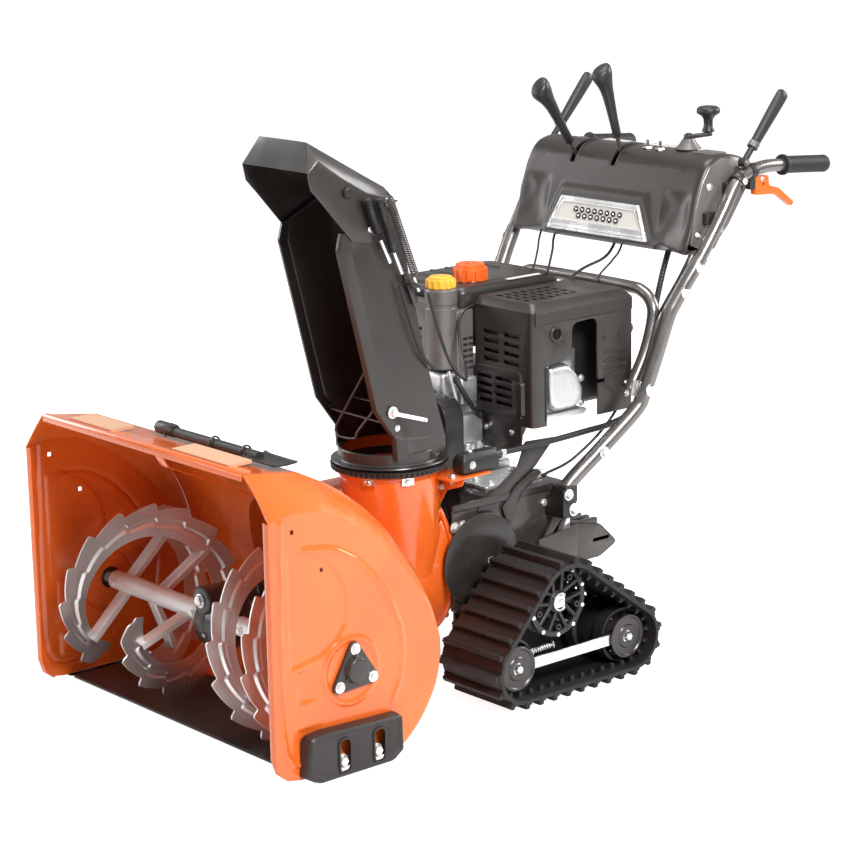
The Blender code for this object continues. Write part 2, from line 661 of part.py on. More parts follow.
def contact_angle(one, two):
    """Angle at which the outer tangent leaves circle one for circle two, anticlockwise."""
    across, up = two[0] - one[0], two[1] - one[1]
    lean = math.acos((one[2] - two[2]) / math.hypot(across, up))
    return math.atan2(up, across) - lean


def drive_belt():
    loop = ((0, FAN_Z, FAN_PULLEY), (0, CRANK_Z, ENGINE_PULLEY))
    belt = plate(belt_outline(loop, 0.0095), "Y", BELT_Y - 0.005, BELT_Y + 0.005,
                 holes=[belt_outline(loop, 0.0015)])
    part("drive_belt", belt, "rubber")


def belt_cover():
    """The cover over the belt, between the neck and the engine, open behind."""
    outline = [(-0.110, 0.3645), (-0.110, 0.520), (-0.085, 0.548), (0.085, 0.548), (0.104, 0.520),
               (0.104, 0.3645)]
    body = plate(outline, "Y", 0.349, 0.3965)
    inner = plate([(-0.106, 0.30), (-0.106, 0.518), (-0.083, 0.544), (0.083, 0.544), (0.100, 0.518),
                   (0.100, 0.30)], "Y", 0.353, 0.42)
    part("belt_cover", cut(body, inner), "black_plastic")


# ---------------------------------------------------------------- frame and tracks
def frame():
    """The folded steel drive case that carries everything, with the tray behind it."""
    half = 0.165
    panels = [
        box((-half, 0.310, 0.107), (0.004 - half, 0.600, 0.360)),
        box((half - 0.004, 0.310, 0.107), (half, 0.600, 0.360)),
        box((-half, 0.396, 0.107), (half, 0.401, 0.360)),
        box((-half, 0.396, 0.356), (half, 0.600, 0.360)),
        box((-half, 0.596, 0.107), (half, 0.600, 0.360)),
        box((-half, 0.396, 0.107), (half, 0.500, 0.111)),
    ]
    made = join(*panels)
    for side in (1, -1):
        disc = plate(circle((0.368, 0.242), 0.095, 20), "X", side * 0.181, side * 0.185)
        spacer = box(sorted_low((side * 0.163, 0.345, 0.200), (side * 0.182, 0.395, 0.300)),
                     sorted_high((side * 0.163, 0.345, 0.200), (side * 0.182, 0.395, 0.300)))
        made = join(made, disc, spacer)
    tray = plate([(0.590, 0.278), (0.673, 0.262), (0.723, 0.214), (0.673, 0.191), (0.590, 0.191)],
                 "X", -0.200, 0.200)
    tray_hollow = plate([(0.6005, 0.272), (0.670, 0.258), (0.715, 0.214), (0.690, 0.15), (0.6005, 0.15)],
                        "X", -0.196, 0.196)
    made = join(made, cut(tray, tray_hollow))
    axles = rod((-0.3, *SPROCKET), (0.3, *SPROCKET), SHAFT_RADIUS + GAP)
    bearing = rod((0, 0.39, FAN_Z), (0, 0.402, FAN_Z), 0.010 + GAP)
    part("frame", cut(made, axles, bearing), "grey_paint", round_shape=False)


def sorted_low(one, two):
    return tuple(min(pair) for pair in zip(one, two))


def sorted_high(one, two):
    return tuple(max(pair) for pair in zip(one, two))


def side_box(side, low, high, bevel=0.0):
    """A box given for the left side, built on either side."""
    one, two = (side * low[0], *low[1:]), (side * high[0], *high[1:])
    return box(sorted_low(one, two), sorted_high(one, two), bevel)


def track_circles():
    return ((*FRONT_WHEEL, WHEEL_RADIUS), (*REAR_WHEEL, WHEEL_RADIUS), (*SPROCKET, SPROCKET_RADIUS))


def lugged(outline):
    """The outline with lugs standing on it at even steps of its length."""
    points = [Vector(point) for point in outline]
    closed = [*points, points[0]]
    lengths = [0.0]
    for one, two in zip(closed, closed[1:]):
        lengths.append(lengths[-1] + (two - one).length)
    pitch = lengths[-1] / LUGS

    def place(distance, height):
        distance %= lengths[-1]
        index = max(i for i, length in enumerate(lengths[:-1]) if length <= distance)
        one, two = closed[index], closed[index + 1]
        along = (two - one).normalized()
        spot = one + along * (distance - lengths[index])
        return (spot.x + along.y * height, spot.y - along.x * height)

    made = []
    for lug in range(LUGS):
        start = lug * pitch
        made += [place(start, 0), place(start + 0.002, LUG_HEIGHT), place(start + 0.011, LUG_HEIGHT),
                 place(start + 0.013, 0), place(start + 0.021, 0)]
    return made


def track_belt(side, word):
    """A rubber track: a band round the sprocket and the two wheels, with cross lugs outside."""
    band = lugged(belt_outline(track_circles(), GAP + BELT_THICK))
    inner = belt_outline(track_circles(), 2 * GAP)
    made = plate(band, "X", side * TRACK_X[0], side * TRACK_X[1], holes=[inner])
    part(f"track_belt_{word}", made, "rubber", round_shape=False)


def drive_sprocket(side, word):
    """The upper driving wheel with its half axle."""
    y, z = SPROCKET
    wheel = turned([(0, 0), (SPROCKET_RADIUS, 0), (SPROCKET_RADIUS, 0.110), (0.058, 0.110),
                    (0.052, 0.096), (0.026, 0.096), (0.022, 0.112), (0, 0.112)],
                   (side * 0.235, y, z), (side, 0, 0), sides=20)
    axle = rod((side * 0.130, y, z), (side * 0.240, y, z), SHAFT_RADIUS)
    part(f"drive_sprocket_{word}", join(wheel, axle), "black_plastic", pivot=(side * 0.29, y, z))


def track_wheel(side, word, end, centre):
    y, z = centre
    wheel = turned([(0.0104, 0), (WHEEL_RADIUS, 0), (WHEEL_RADIUS, 0.110), (0.044, 0.110),
                    (0.040, 0.098), (0.024, 0.098), (0.020, 0.110), (0.0104, 0.110)],
                   (side * 0.235, y, z), (side, 0, 0), sides=16)
    part(f"{end}_wheel_{word}", wheel, "black_plastic", pivot=(side * 0.29, y, z))


def track_frame(side, word):
    """The track's carrier: an inner plate, a pin for each wheel and the outer tie bar."""
    corners = [(0.284, 0.064), (0.608, 0.064), (0.608, 0.092), (0.470, 0.178), (0.440, 0.204),
               (0.395, 0.204), (0.375, 0.178), (0.284, 0.096)]
    inner = plate(corners, "X", side * 0.190, side * 0.196, holes=[circle(SPROCKET, 0.0135, 20)])
    pins = [rod((side * 0.190, *centre), (side * 0.360, *centre), 0.010)
            for centre in (FRONT_WHEEL, REAR_WHEEL)]
    bar = side_box(side, (0.3494, 0.290, 0.066), (0.357, 0.602, 0.090))
    part(f"track_frame_{word}", join(inner, *pins, bar), "bare_steel", round_shape=False)


# ---------------------------------------------------------------- handles and console
def handle_tube(side, word):
    """One bent tube from the frame to the hand grip, with its foot clamp and the rubber grip."""
    lower = [(0.205, 0.5700, 0.330), (0.205, 0.577, 0.356), (0.220, 0.658, 0.423), (0.235, 0.740, 0.491),
             (0.240, 0.759, 0.524), (0.250, 0.784, 0.600), (0.258, 0.809, 0.676), (0.262, 0.823, 0.702),
             (0.270, 0.851, 0.746), (0.278, 0.882, 0.790), (HANDLE_X, 0.935, 0.868), (HANDLE_X, 0.972, 0.922),
             (HANDLE_X, 1.000, 0.944), (HANDLE_X, 1.050, 0.954), (HANDLE_X, 1.110, 0.953),
             (HANDLE_X, 1.240, 0.943)]
    bar = tube([(side * x, y, z) for x, y, z in smooth(lower, 0.04)], 0.0135)
    sleeve = tube([(side * x, y, z) for x, y, z in smooth(lower[:10], 0.045)], TUBE_RADIUS)
    foot = side_box(side, (0.1654, 0.556, 0.296), (0.222, 0.590, 0.362))
    grip = rod((side * HANDLE_X, 1.112, 0.9529), (side * HANDLE_X, 1.246, 0.9426), 0.018)
    part(f"handle_tube_{word}", join(bar, sleeve, foot, grip), "bare_steel")


def cross_brace():
    """A bent tube across the back of the engine, bolted to both handle tubes."""
    half = [(0.2135, 0.746, 0.539), (0.2135, 0.787, 0.596), (0.2110, 0.811, 0.655), (0.2040, 0.819, 0.690),
            (0.1750, 0.822, 0.714), (0.1200, 0.823, 0.720)]
    path = half + [(-x, y, z) for x, y, z in reversed(half)]
    part("cross_brace", tube(smooth(path, 0.04), 0.0125), "bare_steel")


def console_outline(inset):
    """The console's section in (y, z), smaller by the inset, open along its underside."""
    front = [(0.866, 0.806), (0.880, 0.880), (0.902, 0.938), (0.925, 0.972), (0.958, 0.985),
             (0.998, 0.983), (1.036, 0.970), (1.052, 0.944), (1.046, 0.920)]
    below = [(0.945, 0.794), (0.905, 0.784)]
    centre = Vector((0.955, 0.890))
    made = []
    for point in front + below:
        spoke_out = Vector(point) - centre
        made.append(tuple(centre + spoke_out * (1 - inset / spoke_out.length)))
    return made


def console():
    """The control console's shell, open below, with slots and holes for its controls."""
    body = plate(console_outline(0), "X", -CONSOLE_HALF, CONSOLE_HALF)
    inner = console_outline(CONSOLE_WALL)
    inner = inner[:9] + [(1.10, 0.84), (1.0, 0.74), (0.90, 0.74)]
    limit = CONSOLE_HALF - CONSOLE_WALL
    cutters = [plate(inner, "X", -limit, limit)]
    cutters.append(box((-0.127, 0.885, 0.925), (-0.113, 1.010, 1.05)))
    cutters.append(box((-0.007, 0.895, 0.935), (0.007, 1.010, 1.05)))
    cutters.append(rod((*CRANK_HANDLE, 0.96), (*CRANK_HANDLE, 1.0), 0.0095))
    cutters += [box((x - 0.006, 0.944, 0.960), (x + 0.006, 0.966, 1.0)) for x in (0.056, 0.092)]
    part("console", cut(body, *cutters), "black_plastic")


def headlight():
    """The lamp bar on the console's front."""
    outline = [(-0.148, 0.806), (0.148, 0.806), (0.115, 0.878), (-0.115, 0.878)]
    lamp = plate(outline, "Y", 0.849, 0.861)
    lamp.matrix_world = (Matrix.Translation((0, 0.866, 0.806)) @ Matrix.Rotation(math.radians(-10.7), 4, "X")
                         @ Matrix.Translation((0, -0.862, -0.806)))
    part("headlight", bake(lamp), "cast_alloy", round_shape=False)


def joystick(name, x, pivot, tip):
    """A long rubber-covered lever that rocks about a cross axis inside the console."""
    foot, top = Vector((x, *pivot)), Vector((x, *tip))
    along = (top - foot).normalized()
    stem = rod(foot, top - along * 0.05, 0.0045, sides=12)
    handle = rod(foot + along * 0.085, top, 0.009, 0.0155, sides=16)
    hub = rod((x - 0.006, *pivot), (x + 0.006, *pivot), 0.009, sides=16)
    part(name, join(hub, stem, handle), "black_plastic", pivot=foot)


def chute_crank():
    """The crank on the console's top that turns the chute."""
    x, y = CRANK_HANDLE
    shaft = turned([(0, 0.950), (0.0088, 0.950), (0.0088, 0.987), (0.026, 0.987), (0.012, 1.011), (0, 1.011)],
                   (x, y, 0), (0, 0, 1), sides=16)
    arm = box((x - 0.008, y - 0.009, 1.008), (x + 0.008, y + KNOB_REACH + 0.008, 1.0155))
    pin = rod((x, y + KNOB_REACH, 1.010), (x, y + KNOB_REACH, 1.040), 0.0040, sides=12)
    part("chute_crank", join(shaft, arm, pin), "black_plastic", pivot=(x, y, 1.0))


def crank_knob():
    x, y = CRANK_HANDLE[0], CRANK_HANDLE[1] + KNOB_REACH
    knob = turned([(0, 1.0410), (0.0044, 1.0410), (0.0044, 1.0165), (0.013, 1.0165), (0.011, 1.046),
                   (0.024, 1.056), (0.024, 1.064), (0.014, 1.070), (0, 1.070)], (x, y, 0), (0, 0, 1),
                  sides=14)
    part("crank_knob", knob, "black_plastic", pivot=(x, y, 1.0165))


def toggle_switch(name, x):
    """A toggle's lever with its ball, in the console's slot."""
    lever = rod((x, 0.955, 0.9700), (x, 0.955, 1.001), 0.0022, 0.0032, sides=12)
    ball = rod((x - 0.004, 0.955, 0.9700), (x + 0.004, 0.955, 0.9700), 0.005, sides=12)
    part(name, join(lever, ball), "bare_steel", pivot=(x, 0.955, 0.970))


def clutch_lever(side, word):
    """The hand lever over the grip: held down, it engages the drive."""
    y, z = CLUTCH_PIVOT
    hub = rod((side * (HANDLE_X - 0.008), y, z), (side * (HANDLE_X + 0.008), y, z), 0.009, sides=16)
    arm = rod((side * HANDLE_X, y, z), (side * HANDLE_X, 1.040, 1.016), 0.007, sides=12)
    handle = rod((side * HANDLE_X, 1.022, 0.995), (side * HANDLE_X, 1.117, 1.102), 0.012, sides=16)
    part(f"clutch_lever_{word}", join(hub, arm, handle), "black_plastic", pivot=(side * HANDLE_X, y, z))


def trigger(side, word):
    """The finger lever under the grip that frees that side's track to steer."""
    outline = [(1.030, 0.936), (1.064, 0.936), (1.066, 0.918), (1.098, 0.910), (1.144, 0.874),
               (1.138, 0.867), (1.092, 0.900), (1.058, 0.905), (1.030, 0.906)]
    made = plate(outline, "X", side * (HANDLE_X - 0.007), side * (HANDLE_X + 0.007))
    pivot = (side * HANDLE_X, *TRIGGER_PIVOT)
    part(f"trigger_{word}", made, "orange_plastic", pivot=pivot, round_shape=False)


def clean_out_tool():
    """The plastic shovel kept on top of the housing for clearing the chute."""
    shaft = rod((-0.080, -0.196, 0.5605), (0.232, -0.196, 0.5605), 0.0100, sides=12)
    blade = box((0.225, -0.222, 0.5560), (0.310, -0.170, 0.5620))
    part("clean_out_tool", join(shaft, blade), "black_plastic")


# ---------------------------------------------------------------- the machine
auger_housing()
mirrored(side_plate)
mirrored(skid_shoe)
mirrored(bearing_flange)
mirrored(auger)
auger_shaft()
auger_gearbox()
impeller()
impeller_shaft()
fan_housing()
chute_ring()
chute()
deflector()
deflector_spring()
chute_gear()
crank_cable()
deflector_cable()
engine_block()
valve_cover()
engine_cover()
choke_knob()
muffler_guard()
fuel_tank()
fuel_cap()
oil_cap()
starter_handle()
engine_pulley()
drive_belt()
belt_cover()
frame()
mirrored(track_belt)
mirrored(drive_sprocket)
mirrored(track_wheel, "front", FRONT_WHEEL)
mirrored(track_wheel, "rear", REAR_WHEEL)
mirrored(track_frame)
mirrored(handle_tube)
cross_brace()
console()
headlight()
joystick("speed_lever", -0.120, SPEED_PIVOT, (0.810, 1.123))
joystick("deflector_lever", 0.0, HOOD_LEVER_PIVOT, (0.876, 1.159))
chute_crank()
crank_knob()
toggle_switch("light_switch", 0.056)
toggle_switch("heater_switch", 0.092)
mirrored(clutch_lever)
mirrored(trigger)
clean_out_tool()
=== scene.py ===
"""Looks of the tracked snow blower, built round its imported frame.

Places are given from the machine's datum, as in the part's source: on the ground, on the
mid-plane, 0.30 m behind the auger housing's front edge. The frame says where that is.
"""
import json
import math

import bmesh
import bpy
from mathutils import Matrix, Vector


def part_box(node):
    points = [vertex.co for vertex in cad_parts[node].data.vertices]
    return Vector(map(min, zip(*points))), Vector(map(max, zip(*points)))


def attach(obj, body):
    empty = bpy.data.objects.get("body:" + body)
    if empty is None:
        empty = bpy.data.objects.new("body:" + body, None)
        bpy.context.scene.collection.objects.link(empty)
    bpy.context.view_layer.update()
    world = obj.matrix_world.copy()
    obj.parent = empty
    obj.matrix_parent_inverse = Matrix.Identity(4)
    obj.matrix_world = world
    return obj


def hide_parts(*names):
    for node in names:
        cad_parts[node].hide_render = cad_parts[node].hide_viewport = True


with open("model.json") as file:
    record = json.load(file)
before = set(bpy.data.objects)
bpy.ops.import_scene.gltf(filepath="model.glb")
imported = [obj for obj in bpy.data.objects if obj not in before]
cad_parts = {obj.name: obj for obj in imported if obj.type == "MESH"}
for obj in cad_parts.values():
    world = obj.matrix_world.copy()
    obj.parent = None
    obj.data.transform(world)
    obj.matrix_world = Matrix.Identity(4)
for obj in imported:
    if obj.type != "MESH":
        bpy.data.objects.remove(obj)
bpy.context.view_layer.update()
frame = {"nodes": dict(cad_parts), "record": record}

AUGER_Y, AUGER_Z = -0.123, 0.187
SHAFT_LOW, SHAFT_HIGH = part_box("auger_shaft")
DATUM = Vector((0, (SHAFT_LOW.y + SHAFT_HIGH.y) / 2 - AUGER_Y, 0))
SIDES = ((1, "left"), (-1, "right"))
OUT, BACK, AHEAD, UP = (1, 0, 0), (0, 1, 0), (0, -1, 0), (0, 0, 1)
FLOOR_REACH = 30
AXIS_GAP = 1e-5


# ================================================================ shapes
class Shape:
    """Points and faces, in datum coordinates, that can be added together and moved."""

    def __init__(self, points=(), faces=()):
        self.points = [Vector(point) for point in points]
        self.faces = [tuple(face) for face in faces]

    def __add__(self, other):
        start = len(self.points)
        moved = [tuple(index + start for index in face) for face in other.faces]
        return Shape(self.points + other.points, self.faces + moved)

    def moved(self, matrix):
        return Shape([matrix @ point for point in self.points], self.faces)

    def mirrored(self):
        """The same shape on the machine's other side."""
        points = [Vector((-point.x, point.y, point.z)) for point in self.points]
        return Shape(points, [tuple(reversed(face)) for face in self.faces])


def on(side, shape):
    """A left-hand shape on its own side, or mirrored onto the right."""
    return shape if side > 0 else shape.mirrored()


def merged(shapes):
    total = Shape()
    for shape in shapes:
        start = len(total.points)
        total.points += shape.points
        total.faces += [tuple(index + start for index in face) for face in shape.faces]
    return total


def both(shape):
    return shape + shape.mirrored()


def grid(rows, close_rows=False, close_columns=False):
    """A sheet of quads through rows of points."""
    count, width = len(rows), len(rows[0])
    points = [point for row in rows for point in row]
    faces = []
    for i in range(count if close_rows else count - 1):
        for j in range(width if close_columns else width - 1):
            a, b = i * width + j, i * width + (j + 1) % width
            c, d = (i + 1) % count * width + (j + 1) % width, (i + 1) % count * width + j
            faces.append((a, b, c, d))
    return Shape(points, faces)


def closed(rings):
    """A skin through rings that joins up both ways, like a tyre's."""
    return grid(rings, close_rows=True, close_columns=True)


def loft(rings):
    """A closed skin through rings of points, with both ends capped."""
    shape = grid(rings, close_columns=True)
    width = len(rings[0])
    shape.faces.append(tuple(reversed(range(width))))
    shape.faces.append(tuple(range(len(shape.points) - width, len(shape.points))))
    return shape


def arc(centre, radius, first, last, steps):
    angles = [math.radians(first + (last - first) * step / steps) for step in range(steps + 1)]
    return [(centre[0] + radius * math.cos(a), centre[1] + radius * math.sin(a)) for a in angles]


def around(count, first=0):
    """Evenly spaced angles, in radians."""
    return [math.radians(360 / count * k + first) for k in range(count)]


def rectangle(x0, y0, x1, y1):
    return [(x0, y0), (x1, y0), (x1, y1), (x0, y1)]


def rounded(outline, radius, steps=4):
    """A closed outline with its corners rounded; radius is one number or one for each corner."""
    radii = radius if isinstance(radius, (list, tuple)) else [radius] * len(outline)
    made = []
    count = len(outline)
    for index in range(count):
        before, here, after = (Vector(outline[(index + shift) % count]) for shift in (-1, 0, 1))
        if radii[index] <= 0:
            made.append(tuple(here))
            continue
        one, two = (before - here), (after - here)
        reach = min(radii[index], one.length * 0.48, two.length * 0.48)
        start, end = here + one.normalized() * reach, here + two.normalized() * reach
        for step in range(steps + 1):
            t = step / steps
            made.append(tuple(start * (1 - t) ** 2 + here * 2 * t * (1 - t) + end * t * t))
    return made


def placed(axis, across, up, depth):
    """A point from an outline's two directions and its depth along an axis."""
    return {"X": (depth, across, up), "Y": (across, depth, up), "Z": (across, up, depth)}[axis]


def prism(outline, axis, low, high):
    rings = [[placed(axis, across, up, depth) for across, up in outline] for depth in (low, high)]
    return loft(rings)


def block(low, high):
    return prism(rectangle(*low[:2], *high[:2]), "Z", low[2], high[2])


def turn_to(direction):
    return Vector(direction).to_track_quat("Z", "Y").to_matrix().to_4x4()


def round_points(radius, sides):
    return [(radius * math.cos(2 * math.pi * k / sides), radius * math.sin(2 * math.pi * k / sides))
            for k in range(sides)]


def turned_rings(profile, sides, wobble=None):
    """Rings for a profile of (radius, distance) points. wobble(angle, radius) adds to a radius."""
    rings = []
    for radius, along in profile:
        ring = []
        for side in range(sides):
            angle = 2 * math.pi * side / sides
            reach = max(radius, AXIS_GAP) + (wobble(angle, radius) if wobble else 0)
            ring.append((reach * math.cos(angle), reach * math.sin(angle), along))
        rings.append(ring)
    return rings


def lathe(profile, start, direction, sides=48, wobble=None):
    """A turned skin that is closed at both ends."""
    return loft(turned_rings(profile, sides, wobble)).moved(Matrix.Translation(start) @ turn_to(direction))


def ring_lathe(profile, start, direction, sides=48):
    """A turned ring: a closed profile that stays off the axis."""
    return closed(turned_rings(profile, sides)).moved(Matrix.Translation(start) @ turn_to(direction))


def rod(start, end, radius, sides=24, round_end=0.0):
    """A round bar between two points, whose far edge can be rounded."""
    start, end = Vector(start), Vector(end)
    length = (end - start).length
    profile = [(0, 0), (radius, 0), (radius, length - round_end)]
    if round_end:
        for step in range(1, 5):
            angle = step / 5 * math.pi / 2
            profile.append((radius - round_end * (1 - math.cos(angle)),
                            length - round_end * (1 - math.sin(angle))))
        profile.append((max(0, radius - round_end), length))
    else:
        profile.append((radius, length))
    profile.append((0, length))
    return lathe(profile, start, end - start, sides)


def smooth(points, step=0.008):
    """Points about a step apart on a smooth curve through the given ones."""
    points = [Vector(point) for point in points]
    ends = [2 * points[0] - points[1], *points, 2 * points[-1] - points[-2]]
    path = []
    for before, one, two, after in zip(ends, ends[1:], ends[2:], ends[3:]):
        count = max(1, round((two - one).length / step))
        for index in range(count):
            t = index / count
            path.append(0.5 * (2 * one + (two - before) * t
                               + (2 * before - 5 * one + 4 * two - after) * t ** 2
                               + (3 * one - before - 3 * two + after) * t ** 3))
    return [*path, points[-1]]


def tube(path, radius, sides=16, ribs=None):
    """A round bar along a path. ribs(index) gives a factor on the radius at each point."""
    path = [Vector(point) for point in path]
    rings = []
    across = None
    for index, point in enumerate(path):
        along = (path[min(index + 1, len(path) - 1)] - path[max(index - 1, 0)]).normalized()
        if across is None:
            across = along.orthogonal().normalized()
        across = (across - along * across.dot(along)).normalized()
        other = along.cross(across)
        reach = radius * (ribs(index) if ribs else 1)
        rings.append([point + across * a + other * b for a, b in round_points(reach, sides)])
    return loft(rings)


def coil(start, end, radius, wire, turns, sides=8):
    """A helical spring between two points."""
    start, end = Vector(start), Vector(end)
    place = Matrix.Translation(start) @ turn_to(end - start)
    length = (end - start).length
    steps = round(turns * 16)
    path = [place @ Vector((radius * math.cos(2 * math.pi * turns * i / steps),
                            radius * math.sin(2 * math.pi * turns * i / steps), length * i / steps))
            for i in range(steps + 1)]
    return tube(path, wire, sides)


def bolt(at, direction, size=0.008, height=None):
    """A hexagon head with a chamfered crown on a washer; size is half its width across flats."""
    tall = size * 0.75 if height is None else height
    base = size * 0.22
    place = Matrix.Translation(at) @ turn_to(direction)
    corner = size / math.cos(math.pi / 6)
    hexagon = turned_rings([(corner, base), (corner, base + tall * 0.8), (corner * 0.86, base + tall)], 6)
    made = loft(hexagon).moved(place)
    made += lathe([(0, base + tall), (size * 0.72, base + tall), (size * 0.62, base + tall * 1.12),
                   (0, base + tall * 1.12)], at, direction, 16)
    made += lathe([(0, 0), (size * 1.55, 0), (size * 1.55, base), (0, base)], at, direction, 24)
    return made


def screw_head(at, direction, size=0.005):
    """A domed screw head with a cross recess suggested by its raised rim."""
    return lathe([(0, 0), (size, 0), (size, size * 0.18), (size * 0.8, size * 0.42),
                  (size * 0.45, size * 0.52), (size * 0.35, size * 0.3), (0, size * 0.3)], at, direction,
                 20)


# ================================================================ pieces
MERGE = 1e-5
CREASE = 38
BEVEL_ANGLE = 32


def clean(mesh, merge=0.0, fix_normals=True):
    """Weld a mesh's points that lie together, and turn its faces outwards."""
    made = bmesh.new()
    made.from_mesh(mesh)
    if merge:
        bmesh.ops.remove_doubles(made, verts=made.verts[:], dist=merge)
    if fix_normals:
        bmesh.ops.recalc_face_normals(made, faces=made.faces[:])
    made.to_mesh(mesh)
    made.free()


def mesh_of(name, shape, fix_normals=True):
    mesh = bpy.data.meshes.new(name)
    mesh.from_pydata([point + DATUM for point in shape.points], [], shape.faces)
    clean(mesh, MERGE, fix_normals)
    return mesh


def linked(name, data):
    """A new object that holds the data, in the scene."""
    made = bpy.data.objects.new(name, data)
    bpy.context.scene.collection.objects.link(made)
    return made


def apply_modifiers(piece):
    bpy.context.view_layer.update()
    graph = bpy.context.evaluated_depsgraph_get()
    mesh = bpy.data.meshes.new_from_object(piece.evaluated_get(graph))
    piece.modifiers.clear()
    piece.data = mesh


def cut_by(piece, cutters, operation="DIFFERENCE"):
    """Cut a piece by closed shapes, each of which is one Boolean."""
    removed = []
    for cutter in cutters:
        other = linked("cutter", mesh_of("cutter", cutter))
        change = piece.modifiers.new("cut", "BOOLEAN")
        change.operation = operation
        change.solver = "EXACT"
        change.object = other
        removed.append(other)
    apply_modifiers(piece)
    for other in removed:
        bpy.data.objects.remove(other, do_unlink=True)


def add(name, shape, finish, body="chassis", cutters=(), unions=(), bevel=0.0, segments=2, sheet=0.0,
        crease=CREASE, replaces=()):
    """Make one piece from a shape and let it ride on its body.

    A sheet's shape is given a thickness; edges sharper than crease, in degrees, stay sharp.
    """
    piece = linked(name, mesh_of(name, shape, fix_normals=not sheet))
    if sheet:
        skin = piece.modifiers.new("sheet", "SOLIDIFY")
        skin.thickness = abs(sheet)
        skin.offset = -1 if sheet > 0 else 1
        apply_modifiers(piece)
        clean(piece.data)
    if unions:
        cut_by(piece, unions, "UNION")
    if cutters:
        cut_by(piece, cutters)
    if bevel:
        edge = piece.modifiers.new("edges", "BEVEL")
        edge.width = bevel
        edge.segments = segments
        edge.limit_method = "ANGLE"
        edge.angle_limit = math.radians(BEVEL_ANGLE)
        edge.use_clamp_overlap = True
        apply_modifiers(piece)
    piece.data.shade_smooth()
    piece.data.set_sharp_from_angle(angle=math.radians(crease))
    piece.data.materials.clear()
    piece.data.materials.append(FINISH[finish])
    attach(piece, body)
    if replaces:
        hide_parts(*replaces)
    return piece


def add_bolts(name, heads, body="chassis"):
    add(name, merged(heads), "zinc", body, crease=25)


def add_pair(name, shape, finish, body="chassis", cutters=(), replaces="", **choices):
    """Make a left-hand piece and its mirror image; {} in a body or node stands for the side."""
    for side, word in SIDES:
        add(f"{name}_{word}", on(side, shape), finish, body.format(word),
            cutters=[on(side, cutter) for cutter in cutters],
            replaces=[replaces.format(word)] if replaces else (), **choices)


# ================================================================ finishes
NOISE_SPAN = (0.35, 0.65)
TONE_SIZE, GLOSS_SIZE, PEEL_SIZE = 0.18, 0.045, 0.006
BRUSH_SIZE, BRUSH_DEPTH, BRUSH_STRETCH = 0.0012, 0.0004, (1, 1, 0.05)


def map_range(tree, value, low, high, span=(0, 1)):
    """An output that runs from low to high, each a number or another output, as a value crosses a span."""
    node = tree.nodes.new("ShaderNodeMapRange")
    tree.links.new(value, node.inputs["Value"])
    for name, end in (("From Min", span[0]), ("From Max", span[1]), ("To Min", low), ("To Max", high)):
        if isinstance(end, (int, float)):
            node.inputs[name].default_value = end
        else:
            tree.links.new(end, node.inputs[name])
    return node.outputs["Result"]


def surface(name, colour, roughness, metallic=0.0, coat=0.0, coat_roughness=0.1, spread=0.06, grain=0.0,
            grain_size=0.0006, mottle=0.10, second=None, peel=0.0, brushed=0.0):
    """A procedural finish: slow colour and gloss changes, fine grain and orange peel."""
    made = bpy.data.materials.new(name)
    made.use_nodes = True
    nodes, links = made.node_tree.nodes, made.node_tree.links
    shader = nodes["Principled BSDF"]
    shader.inputs["Metallic"].default_value = metallic
    shader.inputs["Coat Weight"].default_value = coat
    shader.inputs["Coat Roughness"].default_value = coat_roughness
    place = nodes.new("ShaderNodeTexCoord").outputs["Object"]

    def noise_of(size, detail, vector=place):
        texture = nodes.new("ShaderNodeTexNoise")
        texture.inputs["Scale"].default_value = 1 / size
        texture.inputs["Detail"].default_value = detail
        links.new(vector, texture.inputs["Vector"])
        return texture.outputs["Fac"]

    def ramp(fac, low, high):
        return map_range(made.node_tree, fac, low, high, NOISE_SPAN)

    def bump(fac, strength, depth, under):
        node = nodes.new("ShaderNodeBump")
        node.inputs["Strength"].default_value = strength
        node.inputs["Distance"].default_value = depth
        links.new(fac, node.inputs["Height"])
        if under:
            links.new(under, node.inputs["Normal"])
        return node.outputs["Normal"]

    def mixed(fac, one, two):
        mix = nodes.new("ShaderNodeMix")
        mix.data_type = "RGBA"
        links.new(fac, mix.inputs["Factor"])
        for socket, value in ((mix.inputs[6], one), (mix.inputs[7], two)):
            if isinstance(value, tuple):
                socket.default_value = (*value, 1)
            else:
                links.new(value, socket)
        return mix.outputs[2]

    lighter = second or tuple(min(1, channel * (1 + mottle) + 0.002) for channel in colour)
    darker = tuple(channel * (1 - mottle) for channel in colour)
    links.new(mixed(ramp(noise_of(TONE_SIZE, 3), 0, 1), darker, lighter), shader.inputs["Base Color"])
    gloss = ramp(noise_of(GLOSS_SIZE, 4), max(0.02, roughness - spread), min(1, roughness + spread))
    links.new(gloss, shader.inputs["Roughness"])
    height = None
    for size, amount, deep in ((grain_size, grain, grain_size * 0.25), (PEEL_SIZE, peel, PEEL_SIZE / 10)):
        if amount:
            height = bump(noise_of(size, 2), amount, deep, height)
    if brushed:
        stretch = nodes.new("ShaderNodeMapping")
        stretch.inputs["Scale"].default_value = BRUSH_STRETCH
        links.new(place, stretch.inputs["Vector"])
        height = bump(noise_of(BRUSH_SIZE, 3, stretch.outputs["Vector"]), brushed, BRUSH_DEPTH, height)
    if height:
        links.new(height, shader.inputs["Normal"])
    return made


